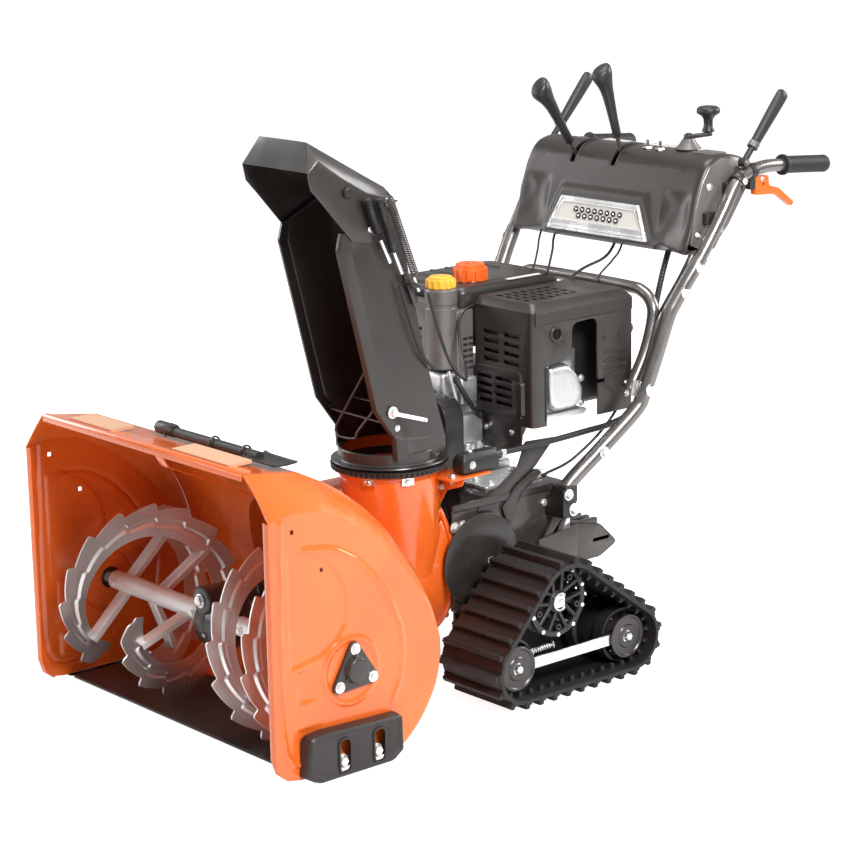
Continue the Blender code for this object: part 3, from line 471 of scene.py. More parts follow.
FINISH = {
    "orange": surface("orange_paint", (0.727, 0.120, 0.0129), 0.24, coat=0.6, coat_roughness=0.06,
                      mottle=0.04, second=(0.83, 0.150, 0.018), peel=0.25),
    "black": surface("black_paint", (0.024, 0.0195, 0.0175), 0.36, coat=0.3, coat_roughness=0.15,
                     peel=0.08),
    "frame_grey": surface("grey_paint", (0.052, 0.043, 0.038), 0.36, coat=0.3, peel=0.2),
    "steel": surface("auger_steel", (0.80, 0.78, 0.77), 0.35, metallic=0.84, grain=0.2, brushed=0.10),
    "tube": surface("handle_steel", (0.23, 0.215, 0.205), 0.28, metallic=0.85, peel=0.1),
    "bright": surface("bright_steel", (0.88, 0.88, 0.87), 0.26, metallic=0.7, grain=0.08),
    "pale": surface("pale_steel", (0.86, 0.86, 0.85), 0.34, metallic=0.30, grain=0.1),
    "patch": surface("lip_patch", (0.62, 0.36, 0.22), 0.45, mottle=0.03),
    "zinc": surface("zinc_bolts", (0.72, 0.72, 0.71), 0.24, metallic=1.0, spread=0.10, grain=0.10),
    "alloy": surface("cast_alloy", (0.64, 0.64, 0.65), 0.36, metallic=0.9, spread=0.10, grain=0.6,
                     grain_size=0.0012),
    "plastic": surface("cover_plastic", (0.025, 0.0195, 0.0165), 0.38, grain=0.4, grain_size=0.0009,
                       coat=0.15, coat_roughness=0.25),
    "dark_plastic": surface("dark_plastic", (0.017, 0.015, 0.014), 0.40, grain=0.3),
    "grey_plastic": surface("grey_plastic", (0.17, 0.155, 0.15), 0.34, metallic=0.4, grain=0.2),
    "orange_plastic": surface("orange_plastic", (0.85, 0.13, 0.012), 0.34, grain=0.2, mottle=0.05),
    "yellow_plastic": surface("yellow_plastic", (0.92, 0.46, 0.04), 0.34, grain=0.2, mottle=0.05),
    "rubber": surface("rubber", (0.0095, 0.0075, 0.0068), 0.58, spread=0.08, grain=0.5, grain_size=0.0012),
    "cable": surface("cable_sheath", (0.014, 0.012, 0.012), 0.34, grain=0.2),
    "label": surface("blank_label", (0.70, 0.67, 0.62), 0.5, mottle=0.03),
    "lens": surface("lamp_lens", (0.62, 0.64, 0.66), 0.16, metallic=0.7, mottle=0.05),
}


# ================================================================ camera, lights and floor
VIEW_AZIMUTH, VIEW_ELEVATION, VIEW_ROLL = 49.88, 13.44, -1.13
VIEW_TARGET = Vector((-0.0188, 0.4, 0.4746))
VIEW_DISTANCE = 5.106
FOCAL_LENGTH, SENSOR_WIDTH = 108, 36
LIGHTS_AIM = Vector((0, 0, 0.5))
DIFFUSE_SKY, GLOSSY_SKY = 0.13, 0.50
FLOOR_GLOW = (0.10, 0.90)


def camera():
    """The viewing angle: from the machine's front left, a little above it."""
    azimuth, elevation, roll = (math.radians(value) for value in (VIEW_AZIMUTH, VIEW_ELEVATION, VIEW_ROLL))
    back = Vector((math.sin(azimuth) * math.cos(elevation), -math.cos(azimuth) * math.cos(elevation),
                   math.sin(elevation)))
    right = Vector((math.cos(azimuth), math.sin(azimuth), 0))
    up = back.cross(right)
    right, up = (right * math.cos(roll) + up * math.sin(roll), up * math.cos(roll) - right * math.sin(roll))
    data = bpy.data.cameras.new("camera")
    data.lens = FOCAL_LENGTH
    data.sensor_width = SENSOR_WIDTH
    made = linked("camera", data)
    place = Matrix.Translation(DATUM + VIEW_TARGET + back * VIEW_DISTANCE)
    made.matrix_world = place @ Matrix((right, up, back)).transposed().to_4x4()
    bpy.context.scene.camera = made


def area_light(name, at, size, power):
    """A soft white light that faces the machine's middle."""
    data = bpy.data.lights.new(name, "AREA")
    data.shape = "RECTANGLE"
    data.size, data.size_y = size
    data.energy = power
    made = linked(name, data)
    made.matrix_world = Matrix.Translation(at) @ turn_to(Vector(at) - LIGHTS_AIM)


def studio():
    world = bpy.data.worlds.new("studio")
    bpy.context.scene.world = world
    world.use_nodes = True
    tree = world.node_tree
    backdrop = tree.nodes["Background"]
    backdrop.inputs["Color"].default_value = (1, 1, 1, 1)
    rays = tree.nodes.new("ShaderNodeLightPath").outputs
    reflected = map_range(tree, rays["Is Glossy Ray"], DIFFUSE_SKY, GLOSSY_SKY)
    tree.links.new(map_range(tree, rays["Is Camera Ray"], reflected, 1), backdrop.inputs["Strength"])
    area_light("key", (3.4, -0.9, 3.0), (1.3, 1.3), 200)
    area_light("front", (-1.6, -3.6, 1.5), (1.6, 1.6), 36)
    area_light("left_fill", (-3.4, -1.2, 1.8), (1.2, 2.4), 45)
    area_light("top", (0.0, 0.2, 3.8), (2.6, 1.4), 80)
    area_light("rim", (1.4, 3.4, 2.2), (1.6, 1.6), 85)
    floor = linked("floor", bpy.data.meshes.new("floor"))
    corners = rectangle(-FLOOR_REACH, -FLOOR_REACH, FLOOR_REACH, FLOOR_REACH)
    floor.data.from_pydata([(x, y, 0) for x, y in corners], [], [(0, 1, 2, 3)])
    paper = surface("floor_paper", (0.90, 0.90, 0.90), 0.8, mottle=0.0)
    shader = paper.node_tree.nodes["Principled BSDF"]
    shader.inputs["Emission Color"].default_value = (1, 1, 1, 1)
    seen = paper.node_tree.nodes.new("ShaderNodeLightPath").outputs["Is Camera Ray"]
    glow = map_range(paper.node_tree, seen, *FLOOR_GLOW)
    paper.node_tree.links.new(glow, shader.inputs["Emission Strength"])
    floor.data.materials.append(paper)
    view = bpy.context.scene.view_settings
    view.view_transform = "Standard"
    view.look = "None"
    view.exposure = 0.0


camera()
studio()


# ================================================================ auger housing
SHEET = 0.0028
FAN_Z = 0.236
CHUTE_X, CHUTE_Y = 0.075, 0.229


def barrel_edge():
    return ([(-0.3, 0.563), (-0.18, 0.545)] + arc((-0.345, 0.139), 0.437, 62, 6, 27)
            + arc((-0.123, 0.184), 0.215, -6, -52, 14) + [(-0.03, 0.008)])


def flat_edge():
    return ([(-0.3, 0.487), (-0.252, 0.495)] + arc((-0.363, 0.059), 0.465, 68, 19, 27)
            + arc((-0.123, 0.184), 0.2, 0, -58, 14) + [(-0.045, 0.008)])


def barrel_half(height):
    return 0.3215 + min(1, max(0, (0.523 - height) / 0.263)) * 0.0545


def distance(point, path):
    """Distance from a point to a line of points in a plane."""
    best = 9
    for (ax, ay), (bx, by) in zip(path, path[1:]):
        dx, dy = bx - ax, by - ay
        share = min(1, max(0, ((point[0] - ax) * dx + (point[1] - ay) * dy) / (dx * dx + dy * dy)))
        best = min(best, math.hypot(point[0] - ax - dx * share, point[1] - ay - dy * share))
    return best


def inside(point, outline):
    found = False
    for (ax, ay), (bx, by) in zip(outline, [*outline[1:], outline[0]]):
        if (ay > point[1]) != (by > point[1]) and point[0] < (bx - ax) * (point[1] - ay) / (by - ay) + ax:
            found = not found
    return found


def ridge(away, half, height):
    return height * (0.5 + 0.5 * math.cos(math.pi * min(1, away / half)))


def step_in(point, outline, width, height):
    """A pad with a soft shoulder just inside its outline."""
    if not inside(point, outline):
        return 0
    share = min(1, distance(point, [*outline, outline[0]]) / width)
    return height * share * share * (3 - 2 * share)


def lattice(outline, cell, height):
    """A plate over a (y, z) outline, cut into small cells and pressed out along X by a height."""
    made = bmesh.new()
    made.faces.new([made.verts.new((0, y, z)) for y, z in outline])
    for axis in (1, 2):
        values = [point[axis - 1] for point in outline]
        for index in range(1, int((max(values) - min(values)) / cell) + 1):
            at = [0, 0, 0]
            at[axis] = min(values) + index * cell - 0.0007
            bmesh.ops.bisect_plane(made, geom=made.verts[:] + made.edges[:] + made.faces[:], plane_co=at,
                                   plane_no=(0, axis == 1, axis == 2))
    made.verts.index_update()
    shape = Shape([(height(v.co.y, v.co.z), v.co.y, v.co.z) for v in made.verts],
                  [[v.index for v in face.verts] for face in made.faces])
    made.free()
    return shape


PLATE_X = 0.39
PLATE_FOOT = [(-0.245, 0.008), (-0.272, 0.013), (-0.291, 0.028), (-0.3, 0.055)]
FRONT_BEAD = [(-0.276, 0.484), (-0.281, 0.3), (-0.282, 0.1), (-0.277, 0.062), (-0.262, 0.04), (-0.235, 0.033),
              (-0.1, 0.033)]
CRESCENT = [(-0.225, 0.425), (-0.1786, 0.4186), (-0.1516, 0.4103), (-0.111, 0.3866), (-0.0669, 0.3434),
            (-0.033, 0.2933), (-0.0129, 0.2457), (-0.0069, 0.2008), (-0.0158, 0.1394), (-0.035, 0.105)]
PAD = [(-0.2635, 0.428), (-0.214, 0.4203), (-0.1726, 0.3965), (-0.1463, 0.3658), (-0.1367, 0.3441),
       (-0.129, 0.3142), (-0.1339, 0.2727), (-0.1574, 0.244), (-0.1925, 0.2237), (-0.2635, 0.212)]


def press(y, z):
    """How far the side plate's flat face stands out at a point."""
    out = ridge(distance((y, z), FRONT_BEAD), 0.0065, 0.0046)
    out += ridge(distance((y, z), CRESCENT), 0.0075, 0.0046)
    out -= step_in((y, z), PAD, 0.005, 0.003)
    for low, high in ((0.146, 0.208), (0.05, 0.101)):
        inner = min(y + 0.248, z - low, high - z)
        if inner > 0 and y < -0.19:
            out -= 0.0048 * min(1, inner / 0.005) * min(1, (-0.19 - y) / 0.045)
    away = abs(math.hypot(y - AUGER_Y + 0.005, z - AUGER_Z + 0.003) - 0.06)
    return PLATE_X + out + ridge(away, 0.0075, 0.004)


def side_band():
    """The leaning band between the flat face and the barrel, with the hem down the front."""
    band = []
    for (oy, oz), (iy, iz) in zip(barrel_edge(), flat_edge()):
        outer, inner = Vector((barrel_half(oz) + 0.0002, oy, oz)), Vector((PLATE_X, iy, iz))
        row = []
        for step in range(9):
            share = step / 8
            swell = 0.0025 * math.sin(math.pi * share)
            point = outer.lerp(inner, share)
            row.append(point + Vector((swell, swell * 0.6, swell * 0.6)))
        band.append(row)
    edge = [(-0.3, 0.487), (-0.3, 0.3), (-0.3, 0.055), (-0.291, 0.028), (-0.272, 0.013)]
    hem = grid([[(PLATE_X, y, z), (0.386, y - 0.0018, z - 0.001), (0.38, y - 0.0018, z), (0.374, y, z)]
                for y, z in edge])
    return grid(band) + hem


def square(y, z, half):
    return block((PLATE_X - 0.03, y - half, z - half), (PLATE_X + 0.03, y + half, z + half))


plate_holes = [square(y, z, 0.0042) for y, z in ((-0.2492, 0.4632), (-0.185, 0.3823))]
plate_holes.append(rod((0.36, AUGER_Y, AUGER_Z), (0.42, AUGER_Y, AUGER_Z), 0.022))
add_pair("side_plate_skin", lattice([*flat_edge(), *PLATE_FOOT][::-1], 0.0036, press), "orange",
         cutters=plate_holes, sheet=SHEET, crease=50, replaces="side_plate_{}")
add_pair("side_plate_band", side_band(), "orange", sheet=SHEET, crease=50)

rows = []
for y, z in [(-0.3, 0.55), (-0.3008, 0.556), (-0.3003, 0.561), *barrel_edge()[:-1], (-0.045, 0.0075)]:
    half = barrel_half(z) - 0.0038
    rows.append([(half * (column / 12 - 1), y, z) for column in range(25)])
add("barrel_sheet", grid(rows), "orange", sheet=SHEET, crease=40,
    cutters=[rod((0, -0.06, FAN_Z), (0, 0.14, FAN_Z), 0.167, sides=72)], replaces=["auger_housing"])
lip = [(-0.2985, 0.55), (-0.3012, 0.5495), (-0.302, 0.552), (-0.302, 0.56), (-0.299, 0.5645),
       (-0.29, 0.5645), (-0.288, 0.5622), (-0.2985, 0.56)]
add("lip_hem", loft([[(x, y, z) for y, z in lip] for x in (-0.3185, 0, 0.3185)]), "orange", bevel=0.0008)
scraper = [(-0.23, 0.004), (-0.23, 0.009), (-0.05, 0.009), (-0.04, 0.013), (-0.036, 0.0115), (-0.046, 0.004)]
add("scraper_bar", prism([(y, z) for y, z in scraper], "X", -0.372, 0.372), "black", bevel=0.0008)
brace = grid([[(0.052, -0.296, 0.5495), (0.078, -0.296, 0.5495)],
              [(0.052, -0.285, 0.53), (0.078, -0.285, 0.53)],
              [(0.052, -0.12, 0.452), (0.078, -0.12, 0.452)],
              [(0.052, -0.06, 0.425), (0.078, -0.06, 0.425)],
              [(0.052, -0.038, 0.44), (0.078, -0.038, 0.44)]])
add("lip_strut", brace, "orange", sheet=0.003, bevel=0.0008,
    cutters=[block((0.061, -0.24, 0.4), (0.069, -0.14, 0.56))])
patches = [loft([[(x, y, z) for x, y in rounded(rectangle(low, -0.278, high, -0.225), 0.004)]
                 for z in (0.557, 0.5626)]) for low, high in ((-0.262, -0.12), (0.075, 0.25))]
add("lip_patches", merged(patches), "patch")


CARRIAGE_YS = (-0.166, -0.087)


def skid():
    outline = [(-0.251, 0.016), (-0.223, 0), (-0.052, 0), (-0.028, 0.016), (-0.03, 0.086), (-0.205, 0.093),
               (-0.244, 0.09)]
    outline = rounded(outline, [0.004, 0.006, 0.006, 0.004, 0.01, 0.004, 0.01], 4)
    middle = Vector((-0.14, 0.048))

    def ring(x, scale):
        return [(x, middle.x + (y - middle.x) * (1 - scale / 0.1), middle.y + (z - middle.y)
                 * (1 - scale / 0.045)) for y, z in outline]
    rings = [ring(0.3915, 0.0012), ring(0.3915, 0), ring(0.402, 0), ring(0.414, 0.0016), ring(0.4178, 0.0052),
             ring(0.4178, 0.009), ring(0.416, 0.011)]
    return grid(rings, close_columns=True) + Shape(rings[-1], [tuple(range(len(outline)))])


def slot_line(y, grow=0):
    """The outline of a skid's slot, or one that is larger all round."""
    half = 0.0115 + grow
    return rounded(rectangle(y - half, 0.011 - grow, y + half, 0.071 + grow), half, 6)


slots = [prism(slot_line(y), "X", 0.38, 0.43) for y in CARRIAGE_YS]
add_pair("skid_pan", skid(), "dark_plastic", sheet=0.003, cutters=slots, bevel=0.0007,
         replaces="skid_shoe_{}")
rims = []
for y in CARRIAGE_YS:
    rim, hole = slot_line(y, 0.0035), slot_line(y)
    rims.append(grid([[(x, *point) for point in line] for x, line in
                      ((0.414, hole), (0.4177, hole), (0.4177, rim), (0.415, rim))], close_columns=True))
add("skid_slot_rims", both(merged(rims)), "dark_plastic", crease=30)
carriage = merged([bolt((0.405, y, 0.028), OUT, 0.0085, height=0.008)
                   + lathe(rectangle(0, 0, 0.0112, 0.0155), (0.3915, y, 0.028), OUT, 28)
                   for y in CARRIAGE_YS])
add("skid_bolts", both(carriage), "bright", crease=25)


FLANGE = (((0, 0.038), 20), ((-0.037, -0.026), 140), ((0.039, -0.022), 260))


def flange():
    y, z = AUGER_Y, AUGER_Z
    outline = []
    for centre, first in FLANGE:
        outline += arc((y + centre[0], z + centre[1]), 0.0125, first, first + 120, 9)
    rings = []
    for x, inset in ((0.3905, 0), (0.3955, 0), (0.3975, 0.0012)):
        rings.append([(x, py + (y - py) * inset / 0.055, pz + (z - pz) * inset / 0.055)
                      for py, pz in outline])
    return loft(rings)


hub = lathe([(0, 0), (0.027, 0), (0.0265, 0.003), (0.0245, 0.0055), (0.0235, 0.0135), (0.0215, 0.0158),
             (0.018, 0.0165), (0, 0.017)], (0.3935, AUGER_Y, AUGER_Z), OUT, 48)
webs = []
for (y, z), first in FLANGE:
    out = Vector((0, y, z)).normalized()
    across = Vector((0, -out.z, out.y)) * 0.004
    foot = Vector((0.3965, AUGER_Y, AUGER_Z))
    webs.append(loft([[foot + out * 0.02 + across, foot + out * 0.02 - across, foot + out * 0.02 - across
                       + Vector((0.01, 0, 0)), foot + out * 0.02 + across + Vector((0.01, 0, 0))],
                      [foot + out * 0.03 + across * 0.6, foot + out * 0.03 - across * 0.6, foot + out * 0.03
                       - across * 0.6 + Vector((0.0015, 0, 0)), foot + out * 0.03 + across * 0.6
                       + Vector((0.0015, 0, 0))]]))
add_pair("bearing_cast", merged([flange(), hub, *webs]), "black", bevel=0.0008,
         replaces="bearing_flange_{}")
add("bearing_bolts", both(merged([bolt((0.3975, AUGER_Y + y, AUGER_Z + z), OUT, 0.0068)
                                  for (y, z), first in FLANGE])), "bright",
    crease=25)


# ================================================================ augers and impeller
TEETH = 15
PITCH = 0.2025


def ribbon(side, phase, turns):
    """A serrated helical strip with a pressed channel along its middle and slanted ends."""
    steps = round(turns / 1.2)
    rings = []
    for step in range(steps + 1):
        swept = turns * step / steps
        angle = math.radians(phase + swept)
        tooth = (swept * TEETH / 360) % 1
        rise = tooth / 0.93 if tooth < 0.93 else (1 - tooth) / 0.07
        tip = 0.1645 + 0.0152 * rise
        root = 0.123 - 0.01 * math.sin(math.pi * swept / turns)
        slant = min(1, (swept + 1) / 14, (turns - swept + 4) / 20)
        tip = root + 0.01 + (tip - root - 0.01) * slant
        channel = min(1, max(0, (min(swept, turns - swept) - 22) / 7)) * 0.004
        x = 0.335 - swept / 360 * PITCH
        front, back = [], []
        for share, lift in ((0, 0), (0.12, 0), (0.3, 0), (0.4, 1), (0.52, 1), (0.6, 0), (0.86, 0), (1, 0)):
            radius = root + (tip - root) * share
            point = (AUGER_Y - radius * math.cos(angle), AUGER_Z + radius * math.sin(angle))
            front.append((side * (x + 0.0018 + channel * lift), *point))
            back.append((side * (x - 0.0018 + channel * lift), *point))
        rings.append(front + back[::-1])
    return loft(rings)


def spoke(side, phase, x):
    """A folded bar from the hub tube to the ribbon that passes at x."""
    angle = math.radians(phase) + 2 * math.pi * (0.335 - x) / PITCH
    bar = grid([[(-0.014, r, 0.01), (-0.0138, r, -0.001), (-0.01, r, -0.0026), (0.01, r, -0.0026),
                 (0.0138, r, -0.001), (0.014, r, 0.01), (0.0115, r, 0.01), (0.011, r, 0.0008),
                 (-0.011, r, 0.0008), (-0.0115, r, 0.01)] for r in (0.0165, 0.112, 0.134)],
               close_columns=True)
    bar.faces += [tuple(range(10)), tuple(range(29, 19, -1))]
    bar += bolt((0, 0.124, 0.0008), UP, 0.0048)
    return bar.moved(Matrix.Translation((side * x, AUGER_Y, AUGER_Z))
                     @ Matrix.Rotation(math.pi - angle, 4, "X"))


for side, word in SIDES:
    strips, bars, studs = [], [], []
    long_phase, short_phase = (110, -70) if side > 0 else (-70, 110)
    for phase, turns, spots in ((long_phase, 435.6, (0.32, 0.212, 0.104)),
                                (short_phase, 165.3, (0.32, 0.257))):
        strips.append(ribbon(side, phase, turns))
        bars += [spoke(side, phase, x) for x in spots]
        for swept in (10, 30, turns - 12):
            a = math.radians(phase + swept)
            studs.append(lathe([(0, 0), (0.0036, 0), (0.0036, 0.0008), (0, 0.001)],
                               (side * (0.3372 - swept / 360 * PITCH), AUGER_Y - 0.146 * math.cos(a),
                                AUGER_Z + 0.146 * math.sin(a)), (side, 0, 0), 16))
    add(f"auger_ribbons_{word}", merged(strips), "steel", "auger_reel", crease=26, replaces=[f"auger_{word}"])
    add(f"auger_spokes_{word}", merged(bars), "pale", "auger_reel", bevel=0.0006, crease=30)
    add(f"auger_holes_{word}", merged(studs), "rubber", "auger_reel", crease=30)
    tube_profile = [(0.0125, 0), (0.0185, 0), (0.019, 0.0008), (0.019, 0.3132), (0.0185, 0.314),
                    (0.0125, 0.314)]
    add(f"auger_hub_{word}", ring_lathe(tube_profile, (side * 0.052, AUGER_Y, AUGER_Z), (side, 0, 0), 48)
        + merged([bolt((side * x, AUGER_Y - 0.0195, AUGER_Z), AHEAD, 0.0055) for x in (0.075, 0.345)]),
        "pale", "auger_reel", crease=30)
add("auger_shaft_turned", lathe([(0, 0), (0.0105, 0), (0.0118, 0.0012), (0.0118, 0.8028), (0.0105, 0.804),
                                 (0, 0.804)], (-0.402, AUGER_Y, AUGER_Z), OUT, 40), "bright", "auger_reel",
    replaces=["auger_shaft"])

case = lathe([(0.014, -0.0445), (0.022, -0.0445), (0.024, -0.042), (0.03, -0.0415), (0.052, -0.026),
              (0.0525, -0.008), (0.056, -0.006), (0.056, 0.006), (0.0525, 0.008), (0.052, 0.026),
              (0.03, 0.0415), (0.024, 0.042), (0.022, 0.0445), (0.014, 0.0445)], (0, AUGER_Y, AUGER_Z), OUT,
             56, wobble=lambda angle, radius: 0.003 * max(0, math.cos(3 * angle)) if radius > 0.05 else 0)
worm = lathe([(0.011, 0), (0.024, 0), (0.027, 0.003), (0.027, 0.02), (0.0255, 0.022), (0.0255, 0.108),
              (0.027, 0.112), (0.03, 0.114), (0.03, 0.122), (0.027, 0.128), (0.02, 0.145), (0.011, 0.145)],
             (0, -0.175, FAN_Z), BACK, 40)
add("gearbox_cast", case, "black", unions=[worm], bevel=0.001, replaces=["auger_gearbox"])
box_bolts = [bolt((0.0075, AUGER_Y + 0.0545 * math.cos(a), AUGER_Z + 0.0545 * math.sin(a)), OUT, 0.0042)
             for a in around(6, 20)]
add("gearbox_bolts", merged(box_bolts + [bolt((0, -0.1755, FAN_Z), AHEAD, 0.009)]), "zinc",
    crease=25)


def paddle(turn):
    plate = grid([[(0.018, y, 0.002), (0.13, y, 0), (0.15, y, 0.003), (0.159, y, 0.014)]
                  for y in (-0.068, 0.068)])
    return plate.moved(Matrix.Translation((0, 0.2, FAN_Z))
                       @ Matrix.Rotation(turn * math.pi / 2 + 0.5, 4, "Y"))


add("impeller_paddles", merged([paddle(turn) for turn in range(4)]), "steel", "impeller_reel", sheet=0.004,
    bevel=0.0008, replaces=["impeller"])
add("impeller_hub", lathe([(0, 0), (0.02, 0), (0.022, 0.002), (0.022, 0.138), (0.02, 0.14), (0, 0.14)],
                          (0, 0.13, FAN_Z), BACK, 40) + bolt((0, 0.1295, FAN_Z), AHEAD, 0.01),
    "steel", "impeller_reel", crease=30)
groove = [(0, -0.01), (0.0885, -0.01), (0.09, -0.0095), (0.09, -0.008), (0.0815, -0.0055), (0.081, -0.005),
          (0.081, 0.005), (0.0815, 0.0055), (0.09, 0.008), (0.09, 0.0095), (0.0885, 0.01), (0.078, 0.01),
          (0.074, 0.006), (0.03, 0.006), (0.026, 0.01), (0.022, 0.014), (0, 0.014)]
add("fan_pulley", lathe(groove, (0, 0.37, FAN_Z), BACK, 64)
    + lathe([(0, 0), (0.009, 0), (0.01, 0.001), (0.01, 0.553), (0.009, 0.554), (0, 0.554)],
            (0, -0.155, FAN_Z), BACK, 32), "steel", "impeller_reel", replaces=["impeller_shaft"])


# ================================================================ fan housing and chute
def barrel_at(height):
    """Where the barrel's back wall is at a height."""
    line = barrel_edge()
    for (ay, az), (by, bz) in zip(line, line[1:]):
        if bz <= height <= az:
            return ay + (by - ay) * (az - height) / (az - bz)
    return line[0][0] if height > line[0][1] else line[-1][0]


drum = []
for radius, along in ((0.17, None), (0.17, 0.3), (0.176, 0.3), (0.1785, 0.302), (0.179, 0.305),
                      (0.178, 0.3078), (0.165, 0.308), (0.015, 0.308), (0.013, 0.307), (0.013, 0.302),
                      (0.167, 0.302), (0.167, None)):
    loop = []
    for x, rise in round_points(radius, 120):
        loop.append((x, barrel_at(FAN_Z + rise) + 0.0012 if along is None else along, FAN_Z + rise))
    drum.append(loop)
neck = []
for radius, top in ((0.098, None), (0.098, 0.428), (0.102, 0.4335), (0.104, 0.4365), (0.103, 0.4394),
                    (0.0955, 0.4394), (0.0955, None)):
    loop = []
    for x, y in round_points(radius, 120):
        foot = FAN_Z + math.sqrt(max(0, 0.169 ** 2 - (CHUTE_X + x) ** 2))
        loop.append((CHUTE_X + x, CHUTE_Y + y, foot if top is None else top))
    neck.append(loop)
add("fan_drum", closed(drum), "orange", bevel=0.0007,
    cutters=[rod((CHUTE_X, CHUTE_Y, FAN_Z + 0.02), (CHUTE_X, CHUTE_Y, 0.46), 0.0955, sides=96)],
    replaces=["fan_housing"])
add("drum_neck", closed(neck), "orange", bevel=0.0007)
bracket = [(0.135, 0.265), (0.215, 0.265), (0.215, 0.372), (0.175, 0.372), (0.15, 0.33), (0.12, 0.31)]
gusset = [(0.13, 0.425), (0.214, 0.425), (0.206, 0.408), (0.16, 0.392), (0.14, 0.36), (0.12, 0.352)]
add("gear_shelf", prism(rounded(bracket, 0.006), "Z", 0.4235, 0.4275)
    + prism(gusset, "Y", 0.299, 0.3025), "orange", bevel=0.0008)
bolts = [bolt((0.175 * math.cos(a), 0.308, FAN_Z + 0.175 * math.sin(a)), BACK, 0.0045)
         for a in around(8, 10) if abs(math.sin(a)) < 0.95]
bolts += [bolt((0.197, 0.285, 0.428), UP, 0.0055), bolt((0.14, 0.303, 0.395), BACK, 0.005),
          bolt((0.148, 0.2985, 0.398), AHEAD, 0.0055), bolt((0.178, 0.2985, 0.412), AHEAD, 0.0045)]
add_bolts("drum_bolts", bolts)


def toothed(angle, radius):
    return 0.0018 * max(-1, min(1, 3 * math.sin(64 * angle))) if 0.1115 < radius < 0.1135 else 0


ring = [(0.0945, 0.0005), (0.105, 0), (0.11, 0.001), (0.1125, 0.0012), (0.1126, 0.0085), (0.11, 0.009),
        (0.1148, 0.0092), (0.1148, 0.0112), (0.106, 0.0125), (0.1045, 0.0155), (0.0945, 0.0158)]
gear = closed(turned_rings(ring, 512, toothed)).moved(Matrix.Translation((CHUTE_X, CHUTE_Y, 0.44)))
add("ring_gear", gear, "dark_plastic", crease=40, replaces=["chute_ring"])
clamps = []
for turn in (-62, -20, 60, 150, 215):
    a = math.radians(turn)
    out = Vector((math.cos(a), math.sin(a), 0))
    centre = Vector((CHUTE_X, CHUTE_Y, 0.4305))
    if turn != 60:
        clamps.append(bolt(centre + out * 0.1045, out, 0.0052))
        clamps.append(loft([[centre + out * 0.0985 + Vector((0, 0, z)) + Vector((-out.y, out.x, 0)) * s
                             for s, z in ((-0.013, -0.008), (0.013, -0.008), (0.013, 0.008),
                                          (-0.013, 0.008))],
                            [centre + out * 0.105 + Vector((0, 0, z)) + Vector((-out.y, out.x, 0)) * s
                             for s, z in ((-0.012, -0.007), (0.012, -0.007), (0.012, 0.007),
                                          (-0.012, 0.007))]]))
add_bolts("ring_clamps", clamps)

case = rounded(rectangle(0.172, 0.304, 0.208, 0.398), 0.006)
case = loft([[(0.19 + (x - 0.19) * s, 0.351 + (y - 0.351) * t, z) for x, y in case] for z, s, t in
             ((0.4305, 0.92, 0.97), (0.433, 1, 1), (0.452, 1, 1), (0.46, 0.86, 0.95), (0.4665, 0.62, 0.86),
              (0.4678, 0.56, 0.84))])
add("chute_gear_case", case, "dark_plastic", bevel=0.001, unions=[
    rod((0.19, 0.388, 0.452), (0.19, 0.412, 0.452), 0.0105)], replaces=["chute_gear"])
ferrule = lathe([(0, 0), (0.009, 0), (0.009, 0.007), (0.008, 0.008), (0.008, 0.015), (0, 0.015)],
                (0.19, 0.41, 0.452), BACK, 6)
add("gear_ferrule", ferrule + bolt((0.19, 0.335, 0.4678), UP, 0.005, height=0.003)
    + bolt((0.2082, 0.326, 0.446), OUT, 0.005, height=0.004), "zinc", crease=25)


def chute_skin():
    """The three-sided duct: side walls folded off a back plate, with pressed lines and turned-in edges."""
    front = [(0.172, 0.473), (0.169, 0.517), (0.123, 0.579), (0.0967, 0.686), (0.0705, 0.792), (0.046, 0.891),
             (0.054, 0.921), (0.1, 0.9435), (0.158, 0.971)]
    back = [(0.2975, 0.473), (0.2975, 0.5), (0.2745, 0.579), (0.245, 0.686), (0.223, 0.792), (0.201, 0.891),
            (0.1946, 0.921), (0.19, 0.9435), (0.184, 0.971)]
    rows = [(Vector((0, *one)), Vector((0, *two))) for one, two in zip(front, back)]
    rings, dense = [], []
    for (f0, b0), (f1, b1) in zip(rows, rows[1:]):
        parts = max(1, round((f1 - f0).length / 0.012))
        dense += [(f0.lerp(f1, k / parts), b0.lerp(b1, k / parts)) for k in range(parts)]
    dense.append(rows[-1])
    for f, b in dense:
        across = b - f
        wide = across.length
        line = []
        for away, out in ((0, -0.008), (0.0006, -0.003), (0.0025, 0), (0.02, 0), (0.0245, 0.002), (0.029, 0),
                          (wide * 0.55, 0), (wide * 0.72, 0), (wide * 0.8, -0.0018), (wide - 0.01, -0.002),
                          (wide - 0.004, -0.0035), (wide - 0.001, -0.007)):
            line.append((0.0925 + out, f + across * (away / wide)))
        near = [(CHUTE_X + x, p.y, p.z) for x, p in line]
        far = [(CHUTE_X - x, p.y, p.z) for x, p in reversed(line)]
        middle = [(CHUTE_X + x, b.y, b.z) for x in (0.07, 0.045, 0, -0.045, -0.07)]
        rings.append(near + middle + far)
    return grid(rings)


